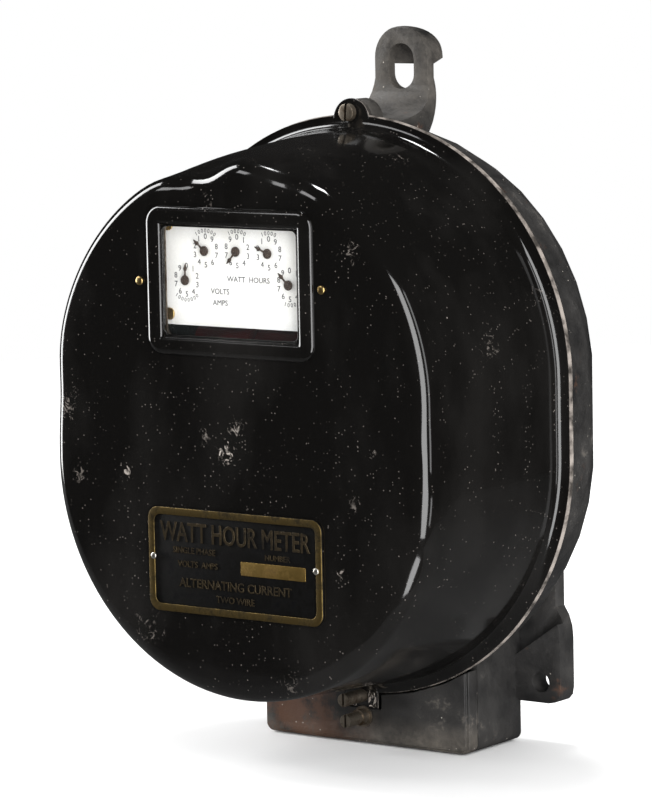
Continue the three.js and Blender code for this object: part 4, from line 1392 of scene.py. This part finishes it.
DIALS = (
    Dial("thousands", 28.9, 67.3, Winding.CLOCKWISE, -46, "1000"),
    Dial("ten_thousands", 17.7, 80.9, Winding.COUNTERCLOCKWISE, -67, "10000"),
    Dial("hundred_thousands", 0, 81.2, Winding.CLOCKWISE, -138, "100000"),
    Dial("millions", -17.7, 80.9, Winding.COUNTERCLOCKWISE, -50, "1000000"),
    Dial("ten_millions", -28.9, 67.3, Winding.CLOCKWISE, 3, "10000000"),
)


@dataclass
class Register:
    """The dial plate with its numbers, hands and screws, and the wheels behind it.

    A hand is given as how far out each place is and its half width there.
    """

    surface: float = -142.5
    number_ring: float = 6.4
    number_size: float = 3.6
    value_ring: float = 9.0
    value_size: float = 2.6
    value_step: float = 11.5
    hand_front: float = -144.1
    hand_back: float = -143.5
    hand: tuple[Spot, ...] = ((1.2, 0.32), (4.0, 0.28), (4.7, 0.75), (5.4, 0.95), (6.1, 0.55), (7.6, 0.06))
    hub: float = 2.25
    hub_gap: float = 0.2
    screws: tuple[Spot, ...] = ((-38.5, 92.2), (38.5, 92.2), (-38.6, 51.8), (38.6, 51.8))

    def build(self) -> None:
        """Makes and dresses every piece of the register."""
        dress(DIAL_WHITE, "dial_plate")
        self.print_dial()
        for dial in DIALS:
            self.make_hand(dial)
            dress(BRASS, f"dial_gear_{dial.name}")
        dress(BRASS, "register_front_plate", "register_back_plate", "worm_wheel")
        corners = ("top_left", "top_right", "bottom_left", "bottom_right")
        spots = [(x, self.surface - 0.35, z) for x, z in self.screws]
        heads = DIAL_SCREW.make("dial_screws", spots, BRASS)
        settle(heads, Body.BASE, "bright_brass", *(f"dial_screw_{c}" for c in corners))

    def print_dial(self) -> None:
        """Prints the numbers round each dial, its multiplier and the unit words."""
        ink = Lettering("dial_print", self.surface, 0.03)
        for dial in DIALS:
            for digit in range(10):
                turn = 36 * digit * dial.winding.value
                x = dial.x + self.number_ring * math.sin(math.radians(turn))
                z = dial.z + self.number_ring * math.cos(math.radians(turn))
                ink.put(str(digit), x, z, self.number_size)
            way = 180 if dial.name in ("thousands", "ten_millions") else 0
            for place, character in enumerate(dial.value):
                turn = (place - (len(dial.value) - 1) / 2) * self.value_step
                turn = way - turn if way else turn
                x = dial.x + self.value_ring * math.sin(math.radians(turn))
                z = dial.z + self.value_ring * math.cos(math.radians(turn))
                ink.put(character, x, z, self.value_size, turn - way)
        ink.put("WATT  HOURS", 6, 68.6, 3.5)
        ink.put("VOLTS", -10, 62.8, 3.5)
        ink.put("AMPS", -10, 57.7, 3.5)
        ink.build(Body.BASE, "white_enamel", INK)

    def make_hand(self, dial: Dial) -> None:
        """Makes a hand: a round hub, a thin stem, a spade and a point.

        Args:
            dial: The dial that it turns on.
        """
        right = [(half, reach) for reach, half in self.hand if reach > self.hub]
        left = [(-half, reach) for half, reach in right]
        gap = self.hub_gap
        arc = [(self.hub * math.sin(t), self.hub * math.cos(t)) for t in steps(gap, 2 * math.pi - gap, 30)]
        turn = math.radians(dial.hand)
        outline = [(dial.x + x * math.cos(turn) + z * math.sin(turn),
                    dial.z - x * math.sin(turn) + z * math.cos(turn))
                   for x, z in (*reversed(right), *arc, *left)]
        hand = pressed(f"hand_{dial.name}", outline, self.hand_front, self.hand_back, 0.12)
        settle(hand, f"dial_{dial.name}", "brown_hands", f"pointer_{dial.name}", finish=BROWN_STEEL)


# ------------------------------------------------------------------ the base
@dataclass
class Base:
    """The cast base with its ear and lugs, the terminal box and what is screwed to it."""

    cast_edge: float = 0.9
    lid_edge: float = 0.6
    stud_front: float = -69.2
    stud: float = -134.5
    thread_radius: float = 2.75
    thread_length: float = 9.0
    thread_pitch: float = 0.9
    box_x: float = 58.5
    box_bottom: float = -157.5
    box_front: float = -60.0
    box_back: float = -0.5
    box_corner: float = 4.0

    def build(self) -> None:
        """Makes and dresses every piece of the base."""
        corners = [self.corner(1), self.corner(-1)]
        base = eased_copy("base_casting", "cast_base", self.cast_edge, corners)
        settle(base, Body.BASE, "japanned_iron", "base_casting", finish=JAPAN)
        lid = eased_copy("terminal_cover", "terminal_lid", self.lid_edge, corners)
        for cutter in corners:
            bpy.data.objects.remove(cutter)
        settle(lid, Body.TERMINAL_LID, "japanned_iron", "terminal_cover", finish=RUSTY_JAPAN)
        dress(FELT, "cover_gasket")
        dress(RUBBER, "terminal_block", "wire_entry_strip")
        dress(BRASS, *(f"terminal_{i}" for i in range(1, 5)), *(f"terminal_screw_{i}" for i in range(1, 5)))
        dress(DULL_STEEL, "cover_screw_bottom", "terminal_cover_screw")
        self.threads()

    def corner(self, side: int) -> bpy.types.Object:
        """Makes the waste that is cut from one lower corner of the terminal box.

        Args:
            side: 1 for the right corner and -1 for the left one.

        Returns:
            The cutter, to be removed after use.
        """
        radius, out = self.box_corner, self.box_corner + 1
        x, z = self.box_x - radius, self.box_bottom + radius
        outline = [(x + radius * math.cos(t), z - radius * math.sin(t)) for t in steps(0, math.pi / 2, 8)]
        outline += [(x, z - out), (x + out, z - out), (x + out, z)]
        work = bmesh.new()
        front, back = ([work.verts.new((side * u * MM, y * MM, w * MM)) for u, w in outline]
                       for y in (self.box_front, self.box_back))
        for i in range(len(outline)):
            after = (i + 1) % len(outline)
            work.faces.new((front[i], front[after], back[after], back[i]))
        work.faces.new(front)
        work.faces.new(back)
        bmesh.ops.recalc_face_normals(work, faces=work.faces)
        mesh = bpy.data.meshes.new("corner")
        work.to_mesh(mesh)
        work.free()
        return spawn("corner", mesh)

    def threads(self) -> None:
        """Puts a thread on the part of the cover's stud that stands out."""
        level = self.stud_front + 1.0
        thread = threaded_studs().run(
            "cover_stud_thread", [(0, level, self.stud)], Radius=self.thread_radius * MM,
            Length=self.thread_length * MM, Pitch=self.thread_pitch * MM, Finish=DULL_STEEL.material())
        flip(thread, level)
        settle(thread, Body.BASE, "dull_steel")


def flip(piece: bpy.types.Object, level: float) -> None:
    """Keeps a run of thread behind its starting level, whichever way it was made.

    Args:
        piece: The thread.
        level: The y that it starts from, in millimetres.
    """
    values = [v.co.y for v in piece.data.vertices]
    if min(values) < (level - 2) * MM:
        for vertex in piece.data.vertices:
            vertex.co.y = 2 * level * MM - vertex.co.y
        piece.data.flip_normals()


# ------------------------------------------------------------------ the works
@dataclass(frozen=True)
class Coil:
    """A coil's turns: where they start, the loop's width, depth and corner, and the wire's sizes."""

    name: str
    starts: tuple[Point, ...]
    width: float
    depth: float
    corner: float
    wire: float
    turns: int
    pitch: float
    finish: Finish

    def wind(self) -> bpy.types.Object:
        """Makes the turns at every start, as one piece.

        Returns:
            The piece.
        """
        return wound_coil().run(
            self.name, self.starts, Width=self.width * MM, Depth=self.depth * MM, Corner=self.corner * MM,
            Wire=self.wire * MM, Turns=self.turns, Pitch=self.pitch * MM, Finish=self.finish.material())


COILS = (
    Coil("voltage_turns", ((0, -55, 29.6),), 40.7, 33.7, 5.8, 0.48, 28, 0.995, FINE_WIRE),
    Coil("current_turns", ((-15, -55, -12.9), (15, -55, -12.9)), 17.1, 29.1, 3.6, 0.98, 13, 1.98, STOUT_WIRE),
)


@dataclass
class Works:
    """The driving cores, coils, magnets and the turning disc."""

    windings: tuple[Coil, ...] = COILS

    def build(self) -> None:
        """Dresses the pieces inside the cover."""
        dress(INNER_JAPAN, "mechanism_frame", "magnet_shelf")
        dress(MAGNET_PAINT, "drag_magnet_left", "drag_magnet_right")
        dress(CORE_VARNISH, "voltage_core", "current_core")
        dress(COTTON, "voltage_coil", "current_coil_left", "current_coil_right", "lead_line", "lead_load")
        dress(BRASS, "lower_bearing", "upper_bearing")
        dress(DULL_STEEL, "frame_screw_1", "frame_screw_2", "rotor_shaft")
        dress(ALUMINIUM, "rotor_disc")
        self.coils()

    def coils(self) -> None:
        """Winds the three coils, with fine wire above the disc and stout wire below it."""
        for coil in self.windings:
            settle(coil.wind(), Body.BASE, "coil_cotton")


# ------------------------------------------------------------------ the studio
@dataclass(frozen=True)
class Softbox:
    """A rectangular light: its place, width and height in metres, and its power in watts."""

    name: str
    spot: Point
    width: float
    height: float
    power: float


@dataclass
class Studio:
    """The floor, the lights and the camera.

    The camera's distance and target and the floor's height are millimetres. The floor's radius and
    centre, the lights and the place that they face are metres.
    """

    azimuth: float = 36.3
    elevation: float = 7.05
    roll: float = -1.13
    distance: float = 1931.5
    target: Point = (0.0, -77.83, 7.39)
    lens: float = 189.1
    sensor: float = 36.0
    floor_z: float = -158.2
    floor_radius: float = 0.95
    floor_centre: Spot = (-0.41, 0.56)
    aim: Point = (0, -0.08, 0)
    softboxes: tuple[Softbox, ...] = (
        Softbox("right softbox", (1.5, -1.15, 0.05), 0.85, 3.0, 62),
        Softbox("far right softbox", (1.75, -0.2, 0.35), 0.3, 1.9, 7),
        Softbox("top softbox", (-0.2, 0.25, 1.4), 0.3, 0.3, 8),
        Softbox("left softbox", (-1.5, -0.26, 0.5), 0.5, 2.0, 34),
        Softbox("front softbox", (-1.3, -1.9, 1.9), 0.9, 0.6, 10),
    )
    room: Colour = (1.0, 0.98, 0.95)
    room_strength: float = 0.018

    def build(self) -> None:
        """Makes the floor, the lights and the camera."""
        self.floor()
        self.world()
        self.lights()
        self.camera()

    def camera(self) -> None:
        """Stands the camera in front, to the right and a little above."""
        a, e, turn = (math.radians(v) for v in (self.azimuth, self.elevation, self.roll))
        back = Vector((math.sin(a) * math.cos(e), -math.cos(a) * math.cos(e), math.sin(e)))
        right = Vector((math.cos(a), math.sin(a), 0.0))
        up = back.cross(right)
        side = right * math.cos(turn) + up * math.sin(turn)
        top = up * math.cos(turn) - right * math.sin(turn)
        data = bpy.data.cameras.new("camera")
        data.lens, data.sensor_width = self.lens, self.sensor
        data.clip_start, data.clip_end = 0.05, 50.0
        made = bpy.data.objects.new("camera", data)
        bpy.context.scene.collection.objects.link(made)
        spin = Matrix((side, top, back)).transposed().to_4x4()
        spot = Vector(self.target) * MM + back * self.distance * MM
        made.matrix_world = Matrix.Translation(spot) @ spin
        bpy.context.scene.camera = made

    def floor(self) -> None:
        """Lays a round pale floor under the terminal box."""
        work = bmesh.new()
        bmesh.ops.create_circle(work, cap_ends=True, segments=96, radius=self.floor_radius)
        bmesh.ops.translate(work, verts=work.verts, vec=(*self.floor_centre, self.floor_z * MM))
        mesh = bpy.data.meshes.new("floor")
        work.to_mesh(mesh)
        work.free()
        made = spawn("floor", mesh)
        mesh.materials.append(PaleFloor("pale floor").material())

    def world(self) -> None:
        """Surrounds the scene with pale light that polished surfaces see as a dim room."""
        world = bpy.data.worlds.new("studio")
        bpy.context.scene.world = world
        bpy.context.scene.view_settings.view_transform = "Standard"
        world.use_nodes = True
        graph = Graph(world.node_tree)
        graph.tree.nodes.clear()
        ray = graph.node("ShaderNodeLightPath")
        pale = graph.node("ShaderNodeBackground", {0: (1.0, 1.0, 1.0, 1.0), 1: 1.0}).outputs[0]
        dim = graph.node("ShaderNodeBackground", {0: (*self.room, 1.0), 1: self.room_strength}).outputs[0]
        mixed = graph.node("ShaderNodeMixShader", {0: ray.outputs["Is Glossy Ray"], 1: pale, 2: dim})
        graph.node("ShaderNodeOutputWorld", {0: mixed.outputs[0]})

    def lights(self) -> None:
        """Hangs the softboxes, each facing the meter and unseen by the camera itself."""
        for box in self.softboxes:
            data = bpy.data.lights.new(box.name, "AREA")
            data.shape, data.size, data.size_y, data.energy = "RECTANGLE", box.width, box.height, box.power
            made = bpy.data.objects.new(box.name, data)
            bpy.context.scene.collection.objects.link(made)
            made.location = box.spot
            made.rotation_euler = (Vector(self.aim) - Vector(box.spot)).to_track_quat("-Z", "Y").to_euler()
            made.visible_camera = False


def main() -> None:
    """Builds the meter's looks in order."""
    logging.basicConfig(level=logging.INFO, format="%(name)s: %(message)s")
    Studio().build()
    Base().build()
    Works().build()
    Register().build()
    Cover().build()


if __name__ == "__main__":
    main()
